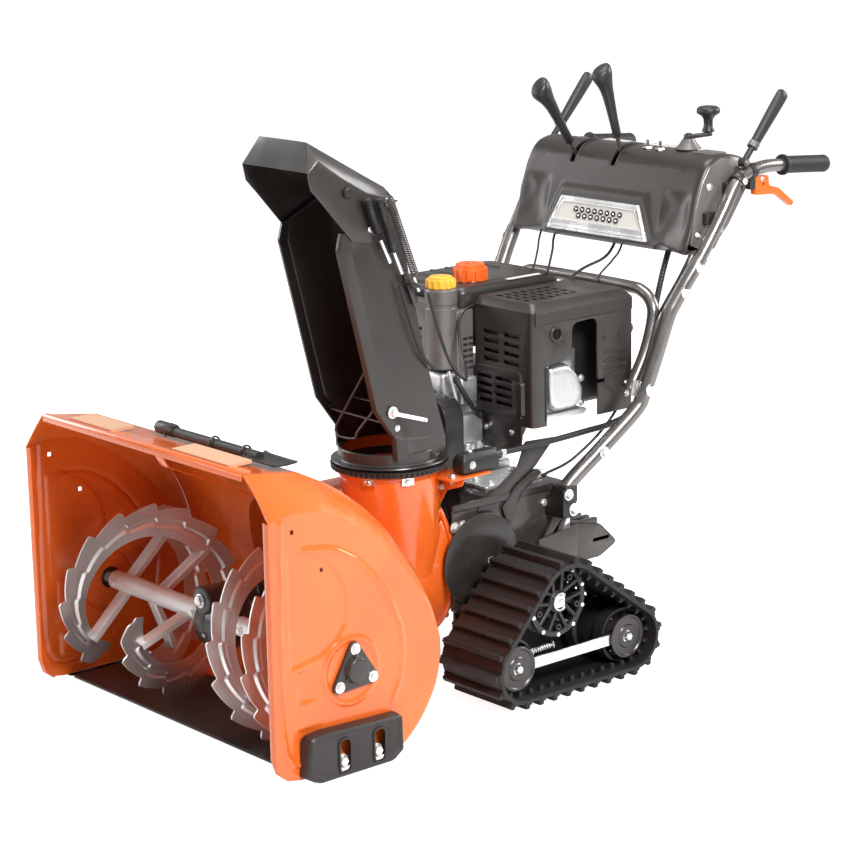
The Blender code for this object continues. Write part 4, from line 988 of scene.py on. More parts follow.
add("chute_duct", chute_skin(), "black", "chute", sheet=-0.0025, crease=32,
    replaces=["chute"])
collar = ring_lathe([(0.0925, 0), (0.113, 0), (0.114, 0.0012), (0.113, 0.003), (0.101, 0.004),
                     (0.0995, 0.006), (0.0995, 0.025), (0.098, 0.0268), (0.093, 0.0268)],
                    (CHUTE_X, CHUTE_Y, 0.4566), UP, 96)
add("chute_collar", collar, "black", "chute", crease=30)
sleeve = ring_lathe(rectangle(0.0912, 0, 0.0921, 0.022), (CHUTE_X, CHUTE_Y, 0.457), UP, 96)
add("collar_sleeve", sleeve, "orange", "chute", crease=30)
link = prism(rounded([(0.156, 0.5755), (0.2455, 0.5465), (0.2435, 0.539), (0.154, 0.568)], 0.0036), "X",
             0.171, 0.1735)
detail = [link, bolt((0.174, 0.1585, 0.5722), OUT, 0.0075, height=0.008),
          screw_head((0.1738, 0.24, 0.544), OUT, 0.0042),
          bolt((0.1705, 0.172, 0.539), OUT, 0.004, height=0.003)]
add("chute_link", merged(detail), "bright", "chute", crease=25)
add("chute_pressing",
    prism(rounded([(0.1665, 0.528), (0.186, 0.518), (0.25, 0.511), (0.25, 0.506), (0.185, 0.513),
                   (0.164, 0.523)], 0.002), "X", 0.169, 0.1712), "frame_grey", "chute", bevel=0.0008)
hanging = [(0.142, 0.124, 0.655), (0.098, 0.118, 0.592), (0.056, 0.116, 0.533), (0.057, 0.116, 0.521),
           (0.068, 0.116, 0.515), (0.103, 0.116, 0.517), (0.114, 0.116, 0.521), (0.122, 0.116, 0.535),
           (0.166, 0.13, 0.59)]
lying = [(0.16, 0.132, 0.594), (0.06, 0.167, 0.581), (-0.008, 0.19, 0.5715), (-0.0145, 0.187, 0.57),
         (-0.0145, 0.157, 0.556), (-0.009, 0.151, 0.5535), (0.06, 0.146, 0.5537), (0.16, 0.14, 0.5539)]
guard = [tube(smooth(line, 0.004), 0.0022, 10) for line in (hanging, lying)]
add("wire_guard", merged(guard), "black", "chute", crease=60)


def hood():
    """The deflector: a flat crown with slanting folds down to its side panels."""
    top = [(-0.0255, 1.042), (-0.005, 1.0935), (0.06, 1.057), (0.12, 1.022), (0.163, 0.9965), (0.1705, 0.981)]
    low = [(-0.019, 1.011), (0.005, 0.985), (0.04, 0.945), (0.073, 0.907), (0.118, 0.8985), (0.1695, 0.978)]
    rings = []
    for (ty, tz), (ly, lz), chamfer in zip(top, low, (0, 0.03, 0.03, 0.026, 0.018, 0.004)):
        fold = Vector((0, ty, tz)).lerp(Vector((0, ly, lz)), 0.001 + chamfer / 0.11)
        near = [(0.0985, ly, lz)]
        near += [(0.0985, *(Vector((fold.y, fold.z)).lerp(Vector((ly, lz)), share)))
                 for share in (0.66, 0.33, 0.04)]
        near += [(0.0975, fold.y, fold.z), (0.0985 - chamfer * 0.9, ty, tz),
                 (0.0955 - chamfer * 0.9, ty, tz + 0.0004)]
        line = near + [(0.04, ty, tz + 0.0008), (0, ty, tz + 0.0008)]
        rings.append([(CHUTE_X + x, y, z) for x, y, z in line]
                     + [(CHUTE_X - x, y, z) for x, y, z in reversed(line[:-1])])
    return grid(rings)


add("hood_skin", hood(), "black", "deflector", sheet=-0.0025, crease=24, bevel=0.0005,
    replaces=["deflector"])
knobs = lathe([(0, 0), (0.0095, 0), (0.0105, 0.002), (0.0105, 0.005), (0.008, 0.0075), (0, 0.008)],
              (CHUTE_X + 0.099, 0.064, 0.998), OUT, 28)
add("hood_knob", knobs, "dark_plastic", "deflector")
rivets = [bolt((CHUTE_X + s * 0.099, 0.16, 0.972), (s, 0, 0), 0.0062) for s in (1, -1)]
rivets.append(bolt((CHUTE_X + 0.099, 0.116, 0.925), OUT, 0.0045))
add_bolts("hood_bolts", rivets, body="deflector")
bellows = []
for one, two in (((0.186, 0.098, 0.984), (0.186, 0.122, 0.92)),
                 ((0.188, 0.124, 0.982), (0.188, 0.158, 0.882))):
    path = smooth([one, tuple(Vector(one).lerp(Vector(two), 0.5)), two], 0.0012)
    bellows.append(tube(path, 0.0068, 20, ribs=lambda i: 1 + 0.2 * math.sin(i * 1.6)))
add("cable_bellows", merged(bellows), "rubber", "chute", crease=60)
add("pull_spring", coil((0.189, 0.15, 0.98), (0.189, 0.208, 0.83), 0.0068, 0.0013, 34, 8)
    + tube(smooth([(0.189, 0.146, 0.992), (0.1885, 0.1495, 0.986), (0.189, 0.1505, 0.976)], 0.003), 0.0013, 8)
    + tube(smooth([(0.189, 0.207, 0.832), (0.189, 0.212, 0.815), (0.186, 0.2165, 0.8)], 0.004), 0.0013, 8),
    "frame_grey", "chute", crease=60)
fitting = loft([[(x, 0.19, 0.836), (x, 0.203, 0.833), (x, 0.228, 0.775), (x, 0.216, 0.768)]
                for x in (0.171, 0.1745)])
fitting += loft([[(x, 0.196, 0.818), (x, 0.226, 0.806), (x, 0.223, 0.8), (x, 0.193, 0.812)]
                 for x in (0.171, 0.195)])
add("cable_bracket", fitting, "black", "chute", bevel=0.0008, replaces=["deflector_spring"])
ferrules = merged([rod(one, two, 0.0042, sides=6)
                   for one, two in (((0.186, 0.13, 0.905), (0.187, 0.15, 0.86)),
                                    ((0.187, 0.206, 0.826), (0.187, 0.218, 0.798)),
                                    ((0.187, 0.16, 0.878), (0.187, 0.178, 0.836)))])
add("cable_ferrules", ferrules, "zinc", "chute", crease=25)


# ================================================================ engine
def soft_box(low, high, corner, edge=None, steps=4):
    """A closed box with rounded corners in plan and rounded top and bottom edges."""
    edge = corner if edge is None else edge
    levels = [(low[2] + edge * (1 - math.cos(math.pi / 2 * k / steps)),
               edge * (1 - math.sin(math.pi / 2 * k / steps))) for k in range(steps + 1)]
    levels += [(high[2] - (z - low[2]), inset) for z, inset in reversed(levels)]
    rings = []
    for z, inset in levels:
        outline = [(low[0] + inset, low[1] + inset), (high[0] - inset, low[1] + inset),
                   (high[0] - inset, high[1] - inset), (low[0] + inset, high[1] - inset)]
        rings.append([(x, y, z) for x, y in rounded(outline, max(0.0005, corner - inset * 0.4), 5)])
    return loft(rings)


def cover_shell(grow, top, low, left):
    rings = []
    for z, inset in ((low, 0), (0.7, 0), (0.7165, 0), (top - 0.003, 0.012), (top, 0.0155)):
        inset -= grow
        outline = rectangle(left, 0.4925 + inset, 0.2 - inset, 0.77 - inset)
        rings.append([(x, y, z) for x, y in rounded(outline, [0.001, 0.014, 0.012, 0.001], 5)])
    return loft(rings)


window = rounded([(0.53, 0.4), (0.53, 0.606), (0.598, 0.62), (0.6, 0.684), (0.667, 0.687), (0.67, 0.56),
                  (0.69, 0.56), (0.69, 0.552), (0.67, 0.552), (0.67, 0.4)],
                 [0, 0.004, 0.012, 0.016, 0.016, 0.001, 0.003, 0.003, 0.001, 0], 5)
cuts = [cover_shell(-0.004, 0.728, 0.4, -0.02), prism(window, "X", 0.15, 0.25),
        rod((0.18, 0.557, 0.668), (0.22, 0.557, 0.668), 0.011, sides=36),
        rod((0.15, 0.75, 0.64), (0.15, 0.8, 0.64), 0.006)]
for row in range(4):
    for column in range(7):
        x, y = 0.058 + row * 0.026, 0.522 + column * 0.021
        cuts.append(prism(rounded(rectangle(x, y, x + 0.019, y + 0.0115), 0.003), "Z",
                          0.7, 0.75))
for x0, x1, rows in ((0.056, 0.101, (0.661, 0.643, 0.624, 0.606)),
                     (0.116, 0.161, (0.661, 0.643, 0.624, 0.606)),
                     (0.037, 0.084, (0.571, 0.554, 0.538, 0.522)),
                     (0.094, 0.143, (0.571, 0.554, 0.538, 0.522))):
    for z in rows:
        cuts.append(prism(rounded(rectangle(x0, z, x1, z + 0.008), 0.0025), "Y", 0.47, 0.51))
panel = loft([[(x, y, z) for x, z in rounded([(0.0325 + i, 0.503), (0.0325 + i, 0.598 - i),
                                              (0.17 - i, 0.598 - i), (0.17 - i, 0.503)],
                                             [0, 0.012, 0.012, 0], 5)]
              for y, i in ((0.4935, 0), (0.4925 - 0.0035, 0.003))])
bar = loft([[(x, y, z) for x, z in rounded([(0.153 + i, 0.507 + i), (0.153 + i, 0.577 - i),
                                            (0.177 - i, 0.577 - i), (0.177 - i, 0.507 + i)], 0.005, 4)]
            for y, i in ((0.4935, 0), (0.4925 - 0.0075, 0.003))])
chin = prism(rounded(rectangle(0.04, 0.43, 0.165, 0.52), [0.02, 0.03, 0, 0]), "Y", 0.4928,
             0.4965)
add("engine_cowl", cover_shell(0, 0.732, 0.487, 0.031), "plastic", unions=[panel, bar, chin], cutters=cuts,
    bevel=0.0012, replaces=["engine_cover"])
relief = [grid([[(0.2003, 0.499, 0.69), (0.2003, 0.764, 0.69)],
                [(0.2022, 0.4995, 0.6925), (0.2022, 0.7635, 0.6925)],
                [(0.2022, 0.4995, 0.7145), (0.2022, 0.7635, 0.7145)],
                [(0.1995, 0.5, 0.7175), (0.1995, 0.763, 0.7175)]])]
for z in (0.612, 0.596, 0.58, 0.564):
    relief.append(loft([[(x, y, t)
                         for y, t in rounded(rectangle(0.684 + i, z - 0.004 + i, 0.749 - i, z + 0.004 - i),
                                             0.0035, 4)] for x, i in ((0.1998, 0), (0.202, 0.0015))]))
relief.append(ring_lathe([(0.011, 0), (0.0165, 0), (0.0165, 0.0015), (0.015, 0.003), (0.0125, 0.003),
                          (0.0115, 0.002), (0.011, -0.004)], (0.1998, 0.557, 0.668), OUT, 40))
relief += [lathe([(0, 0), (0.0035, 0), (0.0042, 0.001), (0.0036, 0.0024), (0, 0.003)], (0.1998, y, 0.643),
                 OUT, 20) for y in (0.688, 0.733)]
relief.append(loft([[(x, y, z) for y, z in ((0.5265, 0.495), (0.5265, 0.605), (0.5285, 0.605),
                                            (0.5285, 0.495))] for x in (0.1998, 0.2012)]))
add("cowl_relief", merged(relief), "plastic", crease=30)
lining = block((0.034, 0.5, 0.5), (0.176, 0.504, 0.712)) + block((0.172, 0.5, 0.628), (0.176, 0.597, 0.712))
lining += soft_box((0.02, 0.6, 0.498), (0.14, 0.755, 0.714), 0.02, 0.012)
lining += block((0.034, 0.5, 0.62), (0.15, 0.64, 0.626))
add("cowl_lining", lining, "dark_plastic", crease=30)
add("cowl_bolts", merged([bolt((0.2, 0.749, z), OUT, 0.0042) for z in (0.541, 0.519)]
                         + [bolt((x, 0.4925, 0.47), AHEAD, 0.0045) for x in (0.062, 0.138)]), "zinc",
    crease=25)

outline = rounded([(0.547, 0.6015), (0.602, 0.6015), (0.63, 0.576), (0.6445, 0.542), (0.64, 0.52),
                   (0.62, 0.5065), (0.565, 0.5065), (0.55, 0.52), (0.5465, 0.56)], 0.01, 4)
middle = Vector((0.592, 0.548))
rings = []
for x, scale in ((0.1586, 1), (0.172, 1), (0.18, 0.97), (0.187, 0.9), (0.1897, 0.8), (0.19, 0.6)):
    rings.append([(x, middle.x + (y - middle.x) * scale, middle.y + (z - middle.y) * scale)
                  for y, z in outline])
cast = [loft(rings)]
for y0, y1 in ((0.561, 0.56), (0.575, 0.583), (0.59, 0.608)):
    cast.append(tube(smooth([(0.183, y0, 0.594), (0.1878, y0 * 0.5 + y1 * 0.5, 0.57), (0.1882, y1, 0.546)],
                            0.004), 0.0024, 10))
oval = [(0.598 + 0.034 * math.cos(a), 0.529 + 0.0125 * math.sin(a)) for a in around(36)]
ring = [[(x, 0.598 + (y - 0.598) * s, 0.529 + (z - 0.529) * s) for y, z in oval]
        for x, s in ((0.187, 1), (0.1897, 0.98), (0.1897, 0.86), (0.188, 0.82))]
cast.append(grid(ring, close_columns=True) + Shape(ring[-1], [tuple(range(36))]))
add("rocker_cover", merged(cast), "alloy", crease=42, replaces=["valve_cover"])
foot = prism(rounded([(0.54, 0.5035), (0.65, 0.5035), (0.652, 0.499), (0.645, 0.492), (0.548, 0.492),
                      (0.538, 0.499)], 0.003), "X", 0.156, 0.186)
foot += merged([bolt((0.166, y, z), OUT, 0.005)
                for y, z in ((0.537, 0.6), (0.655, 0.56), (0.537, 0.512), (0.655, 0.51))])
add("cylinder_flange", foot, "alloy", crease=28, bevel=0.001)

fins = [soft_box((x, 0.528, 0.489), (x + 0.0035, 0.662, 0.617), 0.001)
        for x in (0.034, 0.047, 0.06, 0.073, 0.086, 0.099, 0.112, 0.125, 0.138)]
add("cylinder_fins", merged([soft_box((0.01, 0.545, 0.503), (0.158, 0.645, 0.602), 0.01), *fins]), "alloy",
    crease=30)
case = [soft_box((-0.12, 0.412, 0.382), (0.022, 0.598, 0.585), 0.016, 0.012),
        soft_box((-0.13, 0.42, 0.3618), (0.028, 0.59, 0.38), 0.008, 0.003),
        soft_box((-0.126, 0.428, 0.378), (0.024, 0.582, 0.392), 0.008, 0.003),
        lathe([(0.013, 0), (0.036, 0), (0.04, 0.006), (0.056, 0.01), (0.06, 0.014), (0.013, 0.014)],
              (0, 0.404, 0.475), BACK, 48)]
case += [soft_box((-0.112 + k * 0.024, 0.4085, 0.392), (-0.108 + k * 0.024, 0.416, 0.56), 0.0015)
         for k in range(6)]
case += [soft_box((0.02, 0.432 + k * 0.022, 0.395), (0.0265, 0.436 + k * 0.022, 0.48), 0.0015)
         for k in range(6)]
add("crankcase", merged(case), "alloy", crease=30, replaces=["engine_block"])
RECOIL_X, RECOIL_Z = -0.048, 0.477
recoil = lathe([(0, 0), (0.094, 0), (0.096, 0.002), (0.096, 0.024), (0.092, 0.03), (0.084, 0.034),
                (0.074, 0.048), (0.068, 0.0515), (0.03, 0.0515), (0.026, 0.048), (0.012, 0.048),
                (0.01, 0.0515), (0, 0.0515)], (RECOIL_X, 0.595, RECOIL_Z), BACK, 64)
slits = []
for k in range(24):
    place = Matrix.Translation((RECOIL_X, 0.632, RECOIL_Z)) @ Matrix.Rotation(math.radians(15 * k), 4, "Y")
    slits.append(soft_box((0.04, -0.02, -0.0022), (0.062, 0.03, 0.0022), 0.001, 0.0005).moved(place))
add("recoil_case", recoil, "dark_plastic", cutters=slits
    + [rod((RECOIL_X, 0.6, 0.545), (RECOIL_X, 0.7, 0.545), 0.0055)], bevel=0.0008)
add("recoil_bolts",
    merged([bolt((RECOIL_X + 0.089 * math.cos(a), 0.6265, RECOIL_Z + 0.089 * math.sin(a)), BACK, 0.0045)
            for a in around(4, 45)]), "zinc", crease=25)
grip = soft_box((-0.098, 0.656, 0.5372), (0.002, 0.676, 0.5528), 0.008, 0.006)
add("starter_grip", grip + tube([(RECOIL_X, 0.6445, 0.545), (RECOIL_X, 0.66, 0.545)], 0.0028, 10),
    "dark_plastic", "starter_handle", replaces=["starter_handle"])
knob = lathe([(0, 0), (0.0048, 0), (0.0048, 0.026), (0.008, 0.028), (0.0125, 0.033), (0.0138, 0.04),
              (0.0138, 0.048), (0.0118, 0.0515), (0, 0.052)], (0.15, 0.755, 0.64), BACK, 36,
             wobble=lambda a, r: -0.0009 * max(0, math.cos(12 * a)) if r > 0.012 else 0)
add("choke_pull_knob", knob, "dark_plastic", "choke_knob", replaces=["choke_knob"])

# The crankcase's front: carburettor, levers and breather, seen between the guard and the cowl.
front = [soft_box((0.026, 0.424, 0.44), (0.06, 0.486, 0.5), 0.006),
         rod((0.043, 0.418, 0.47), (0.043, 0.428, 0.47), 0.017, sides=32),
         rod((0.043, 0.455, 0.405), (0.043, 0.455, 0.442), 0.015, sides=32, round_end=0.004),
         soft_box((0.0235, 0.436, 0.52), (0.052, 0.48, 0.575), 0.006)]
add("carburettor", merged(front), "alloy", crease=32)
lever = [tube(smooth([(0.036, 0.418, 0.59), (0.045, 0.42, 0.56), (0.052, 0.424, 0.52), (0.04, 0.43, 0.48),
                      (0.046, 0.446, 0.43), (0.06, 0.47, 0.398)], 0.006), 0.004, 12),
         loft([[(x, 0.4135, z) for x, z in ((0.026, 0.512), (0.04, 0.518), (0.052, 0.47), (0.04, 0.462))],
               [(x, 0.4165, z) for x, z in ((0.026, 0.512), (0.04, 0.518), (0.052, 0.47), (0.04, 0.462))]]),
         bolt((0.043, 0.413, 0.47), AHEAD, 0.006), bolt((0.033, 0.413, 0.51), AHEAD, 0.005),
         coil((0.05, 0.418, 0.515), (0.03, 0.424, 0.425), 0.004, 0.0008, 16, 6)]
add("governor_levers", merged(lever), "bright", crease=30)
add("breather_hose", tube(smooth([(0.028, 0.446, 0.56), (0.05, 0.424, 0.575), (0.066, 0.436, 0.54),
                                  (0.06, 0.47, 0.5), (0.05, 0.492, 0.48)], 0.006), 0.0052, 14), "rubber")

FUEL_CAP, OIL_CAP = (-0.04, 0.545), (0, 0.432)
guard_face = [(-0.19, 0.59), (0.018, 0.59), (0.018, 0.7), (0.006, 0.722), (-0.18, 0.722), (-0.19, 0.712)]
slots = []
for z in (0.598, 0.6145, 0.631, 0.6475, 0.664):
    for x in (-0.172, -0.148, -0.124, -0.1, -0.076, -0.052):
        slots.append(prism(rounded(rectangle(x, z, x + 0.016, z + 0.0065), 0.003), "Y", 0.4,
                           0.42))
shield = loft([[(x, y, z)
                for x, z in rounded([(x + (-0.086 - x) * i, z + (0.655 - z) * i) for x, z in guard_face],
                                    0.008)] for y, i in ((0.446, 0), (0.418, 0), (0.412, 0.035))])
column = lathe([(0.012, 0), (0.03, 0), (0.033, 0.003), (0.033, 0.122), (0.0315, 0.124), (0.0315, 0.13),
                (0.033, 0.132), (0.033, 0.158), (0.03, 0.162), (0.0145, 0.162), (0.0145, 0.15),
                (0.012, 0.15)], (*OIL_CAP, 0.59), UP, 56)
add("guard_shield", shield, "grey_plastic", cutters=slots, bevel=0.001, replaces=["muffler_guard"])
add("guard_column", column, "grey_plastic", crease=30)
# The guard side has no real slots. Thin dark plates lie on its solid face as painted shade where the openings
# would be.
vent_shade = merged([block((0.0295, y, z), (0.0304, y + 0.0115, z + 0.0055))
                     for z in (0.585, 0.597, 0.609, 0.621, 0.633, 0.645) for y in (0.462, 0.4765)])
add("guard_side", soft_box((-0.02, 0.446, 0.565), (0.03, 0.4905, 0.706), 0.004), "grey_plastic", crease=30)
add("guard_side_slot_shade", vent_shade, "dark_plastic")
tank = soft_box((-0.2, 0.466, 0.622), (0.019, 0.74, 0.748), 0.022, 0.016, 6)
seam = soft_box((-0.203, 0.463, 0.684), (0.022, 0.743, 0.6885), 0.024, 0.0015)
neck = ring_lathe([(0.02, 0), (0.0225, 0), (0.0235, 0.002), (0.0235, 0.0145), (0.0225, 0.016), (0.02, 0.016)],
                  (*FUEL_CAP, 0.746), UP, 40)
ribs = [soft_box((-0.185, y, 0.745), (-0.105, y + 0.006, 0.7505), 0.002)
        for y in (0.52, 0.56, 0.6, 0.64, 0.68)]
ribs += [soft_box((-0.01, 0.515, 0.744), (-0.004, 0.7, 0.7495), 0.002)]
add("tank_shell", merged([tank, seam, neck, *ribs]), "plastic", crease=32, replaces=["fuel_tank"])
add("tank_label", prism(rounded(rectangle(0.002, 0.6, 0.014, 0.69), 0.002), "Z", 0.747,
                        0.7486), "label")


def knurled(low, high, count, depth):
    def change(angle, radius):
        return -depth * (0.5 + 0.5 * math.copysign(1, math.cos(count * angle))) if low < radius < high else 0
    return change


cap = lathe([(0.0244, 0), (0.034, 0), (0.0358, 0.002), (0.036, 0.006), (0.036, 0.022), (0.0352, 0.025),
             (0.03, 0.0262), (0.029, 0.033), (0.027, 0.034), (0.012, 0.034), (0.01, 0.0325), (0, 0.0325)],
            (*FUEL_CAP, 0.7484), UP, 144, wobble=knurled(0.0345, 0.0362, 12, 0.0026))
cap += ring_lathe([(0.0205, 0.012), (0.0244, 0.012), (0.0244, 0.001), (0.025, 0), (0.0252, 0.016),
                   (0.0205, 0.016)], (*FUEL_CAP, 0.7484), UP, 48)
cap += loft([[(FUEL_CAP[0] + s * x, FUEL_CAP[1] + y, z)
              for x, y in ((-0.026, -0.0045), (0.026, -0.0045), (0.026, 0.0045), (-0.026, 0.0045))]
             for s, z in ((1, 0.78), (0.96, 0.7823))])
add("fuel_cap_knurled", cap, "orange_plastic", "fuel_cap", crease=30, replaces=["fuel_cap"])
cap = lathe([(0, -0.012), (0.0135, -0.012), (0.0135, 0), (0.028, 0), (0.0305, 0.002), (0.031, 0.005),
             (0.0305, 0.015), (0.029, 0.0175), (0.024, 0.0185), (0.0235, 0.0222), (0.022, 0.023),
             (0, 0.023)], (*OIL_CAP, 0.7524), UP, 144, wobble=knurled(0.03, 0.0312, 14, 0.002))
add("oil_cap_knurled", cap, "yellow_plastic", "oil_cap", crease=30, replaces=["oil_cap"])

cover = prism(rounded([(-0.11, 0.3645), (-0.11, 0.52), (-0.085, 0.548), (0.085, 0.548), (0.104, 0.52),
                       (0.104, 0.3645)], [0, 0.014, 0.02, 0.02, 0.014, 0]), "Y", 0.349, 0.3965)
hollow = prism(rounded([(-0.107, 0.3), (-0.107, 0.518), (-0.083, 0.545), (0.083, 0.545), (0.101, 0.518),
                        (0.101, 0.3)], [0, 0.012, 0.02, 0.02, 0.012, 0]), "Y", 0.352, 0.42)
add("belt_guard", cover, "dark_plastic", cutters=[hollow], bevel=0.004, segments=3, replaces=["belt_cover"])
add("belt_guard_bolts", merged([bolt((x, 0.349, z), AHEAD, 0.005) for x, z in
                                ((-0.09, 0.385), (0.084, 0.385), (-0.07, 0.53), (0.07, 0.53))]),
    "zinc", crease=25)


# ================================================================ frame and tracks
def belt_outline(circles, offset, steps=10):
    points = []
    for index in range(len(circles)):
        before, here, after = (circles[(index + shift) % len(circles)] for shift in (-1, 0, 1))
        angles = []
        for one, two in ((before, here), (here, after)):
            across, up = two[0] - one[0], two[1] - one[1]
            angles.append(math.atan2(up, across) - math.acos((one[2] - two[2]) / math.hypot(across, up)))
        while angles[1] < angles[0]:
            angles[1] += 2 * math.pi
        points += arc(here[:2], here[2] + offset, math.degrees(angles[0]), math.degrees(angles[1]), steps)
    return points


SHAFT_Z = 0.475
PULLEYS = ((0, FAN_Z, 0.081), (0, SHAFT_Z, 0.032))
loops = [belt_outline(PULLEYS, offset, 20) for offset in (0.0018, 0.0092)]
section = ((0, 0.366), (0, 0.374), (1, 0.3748), (1, 0.3652))
add("v_belt", closed([[(x, y, z) for x, z in loops[index]] for index, y in section]),
    "rubber", crease=30, replaces=["drive_belt"])
groove = [(0, -0.01), (0.04, -0.01), (0.041, -0.009), (0.041, -0.008), (0.032, -0.005), (0.032, 0.005),
          (0.041, 0.008), (0.041, 0.009), (0.04, 0.01), (0, 0.01)]
add("crank_pulley_turned", lathe(groove, (0, 0.37, SHAFT_Z), BACK, 48)
    + rod((0, 0.356, SHAFT_Z), (0, 0.438, SHAFT_Z), 0.0122, sides=32)
    + bolt((0, 0.36, SHAFT_Z), AHEAD, 0.009), "steel", "crank_pulley", crease=30,
    replaces=["engine_pulley"])

HUB_Y, HUB_Z = 0.42, 0.184
FRONT_Y, REAR_Y, AXLE_Z = 0.3, 0.592, 0.078
TRACK = ((FRONT_Y, AXLE_Z, 0.056), (REAR_Y, AXLE_Z, 0.056), (HUB_Y, HUB_Z, 0.073))
TREAD_BARS, GUIDE_TEETH = 30, 38


def along(outline, distances, height):
    """Points and outward directions at distances along a closed outline."""
    points = [Vector((0, *point)) for point in outline]
    lengths = [0]
    for one, two in zip(points, [*points[1:], points[0]]):
        lengths.append(lengths[-1] + (two - one).length)
    made = []
    for distance_on in distances:
        distance_on %= lengths[-1]
        index = max(i for i in range(len(points)) if lengths[i] <= distance_on)
        one, two = points[index], points[(index + 1) % len(points)]
        forward = (two - one).normalized()
        out = Vector((0, forward.z, -forward.y))
        made.append((one + forward * (distance_on - lengths[index]) + out * height, forward, out))
    return made


def length_round(outline):
    return sum((Vector(b) - Vector(a)).length for a, b in zip(outline, [*outline[1:], outline[0]]))


outer = belt_outline(TRACK, 0.0084, 16)
circumference = length_round(outer)
pitch = circumference / TREAD_BARS
section = ((0.213, 0.0012), (0.2125, 0.003), (0.2125, 0.0076), (0.214, 0.0086), (0.22, 0.008),
           (0.378, 0.008), (0.3835, 0.0086), (0.385, 0.0076), (0.385, 0.003), (0.3845, 0.0012),
           (0.37, 0.0008), (0.227, 0.0008))
loops = {offset: belt_outline(TRACK, offset, 16) for offset in {offset for x, offset in section}}
band = closed([[(x, y, z) for y, z in loops[offset]] for x, offset in section])


def on_belt(spot, forward, out):
    """What lays a shape on the belt, with X across it and Z outwards."""
    place = Matrix((Vector(OUT), forward, out)).transposed().to_4x4()
    place.translation = spot
    return place


def lug(spot, forward, out):
    """A cross bar of the tread with slanted flanks, a dimple in its middle and a tab at each end."""
    rings = []
    for x, narrow, low in ((0.215, 0.003, 0.006), (0.2165, 0.0008, 0.001), (0.22, 0, 0), (0.29, 0, 0),
                           (0.296, -0.0012, 0), (0.302, -0.0012, 0), (0.308, 0, 0), (0.378, 0, 0),
                           (0.3815, 0.0008, 0.001), (0.383, 0.003, 0.006)):
        base, top, high = 0.0072 - narrow, 0.0048 - narrow * 0.6, 0.013 - low
        rings.append([(x, -base, -0.001), (x, -top, high - 0.0012), (x, -top + 0.0012, high),
                      (x, top - 0.0012, high), (x, top, high - 0.0012), (x, base, -0.001)])
    made = loft(rings)
    made += lathe([(0, 0.0115), (0.0042, 0.0115), (0.0036, 0.0131), (0, 0.0132)], (0.299, 0, 0), UP, 16)
    for x0, x1 in ((0.369, 0.3848), (0.2127, 0.2285)):
        made += prism(rounded(rectangle(x0, -0.009, x1, 0.009), 0.004), "Z", -0.001, 0.0032)
    return made.moved(on_belt(spot, forward, out))


lugs = merged([lug(*place) for place in along(outer, [pitch * (k + 0.3) for k in range(TREAD_BARS)], 0)])
inner = belt_outline(TRACK, 0.0008, 16)
length_in = length_round(inner)
teeth = []
for place, forward, out in along(inner, [length_in / GUIDE_TEETH * k for k in range(GUIDE_TEETH)], 0):
    for x0 in (0.22, 0.353):
        teeth.append(loft([[(x, -0.007, 0.001), (x, -0.003, -0.01 if 0 < i < 3 else -0.006),
                            (x, 0.003, -0.01 if 0 < i < 3 else -0.006), (x, 0.007, 0.001)]
                           for i, x in enumerate((x0, x0 + 0.002, x0 + 0.008,
                                                  x0 + 0.01))]).moved(on_belt(place, forward, out)))
add_pair("track_band", band, "rubber", crease=34, replaces="track_belt_{}")
add_pair("track_lugs", lugs, "rubber", crease=28)
add_pair("track_guides", merged(teeth), "rubber", crease=28)

backing = prism(belt_outline(TRACK, -0.004, 16), "X", 0.214, 0.2165)
add_pair("track_backing", backing, "dark_plastic",
         cutters=[rod((0.2, HUB_Y, HUB_Z), (0.23, HUB_Y, HUB_Z), 0.014, sides=40)])


def spoked(x, depth):
    """One cheek of the sprocket: a rim, five pairs of spokes and a hub."""
    made = [ring_lathe([(0.06, 0), (0.07, 0), (0.0715, 0.001), (0.0715, depth - 0.001), (0.07, depth),
                        (0.061, depth), (0.06, depth - 0.0015)], (x, HUB_Y, HUB_Z), OUT, 72),
            lathe([(0, 0), (0.021, 0), (0.022, 0.001), (0.022, depth), (0.019, depth + 0.002),
                   (0, depth + 0.002)], (x, HUB_Y, HUB_Z), OUT, 40)]
    for a in around(5, 90):
        for lean in (-0.24, 0.24):
            foot = Vector((0, math.cos(a + lean * 2.2), math.sin(a + lean * 2.2))) * 0.018
            head = Vector((0, math.cos(a + lean), math.sin(a + lean))) * 0.0625
            direction = (head - foot).normalized()
            across = Vector((0, -direction.z, direction.y))
            rings = []
            for spot in (foot, head):
                rings.append([Vector((x, HUB_Y, HUB_Z)) + spot + across * s + Vector((d, 0, 0)) for s, d in
                              ((-0.0035, 0.001), (0.0035, 0.001), (0.0035, depth - 0.0015), (0.0022, depth),
                               (-0.0022, depth), (-0.0035, depth - 0.0015))])
            made.append(loft(rings))
        made.append(ring_lathe(rectangle(0.0032, 0, 0.0065, depth + 0.0015),
                               (x, HUB_Y + 0.052 * math.cos(a + 0.63), HUB_Z + 0.052 * math.sin(a + 0.63)),
                               OUT, 20))
    return merged(made)


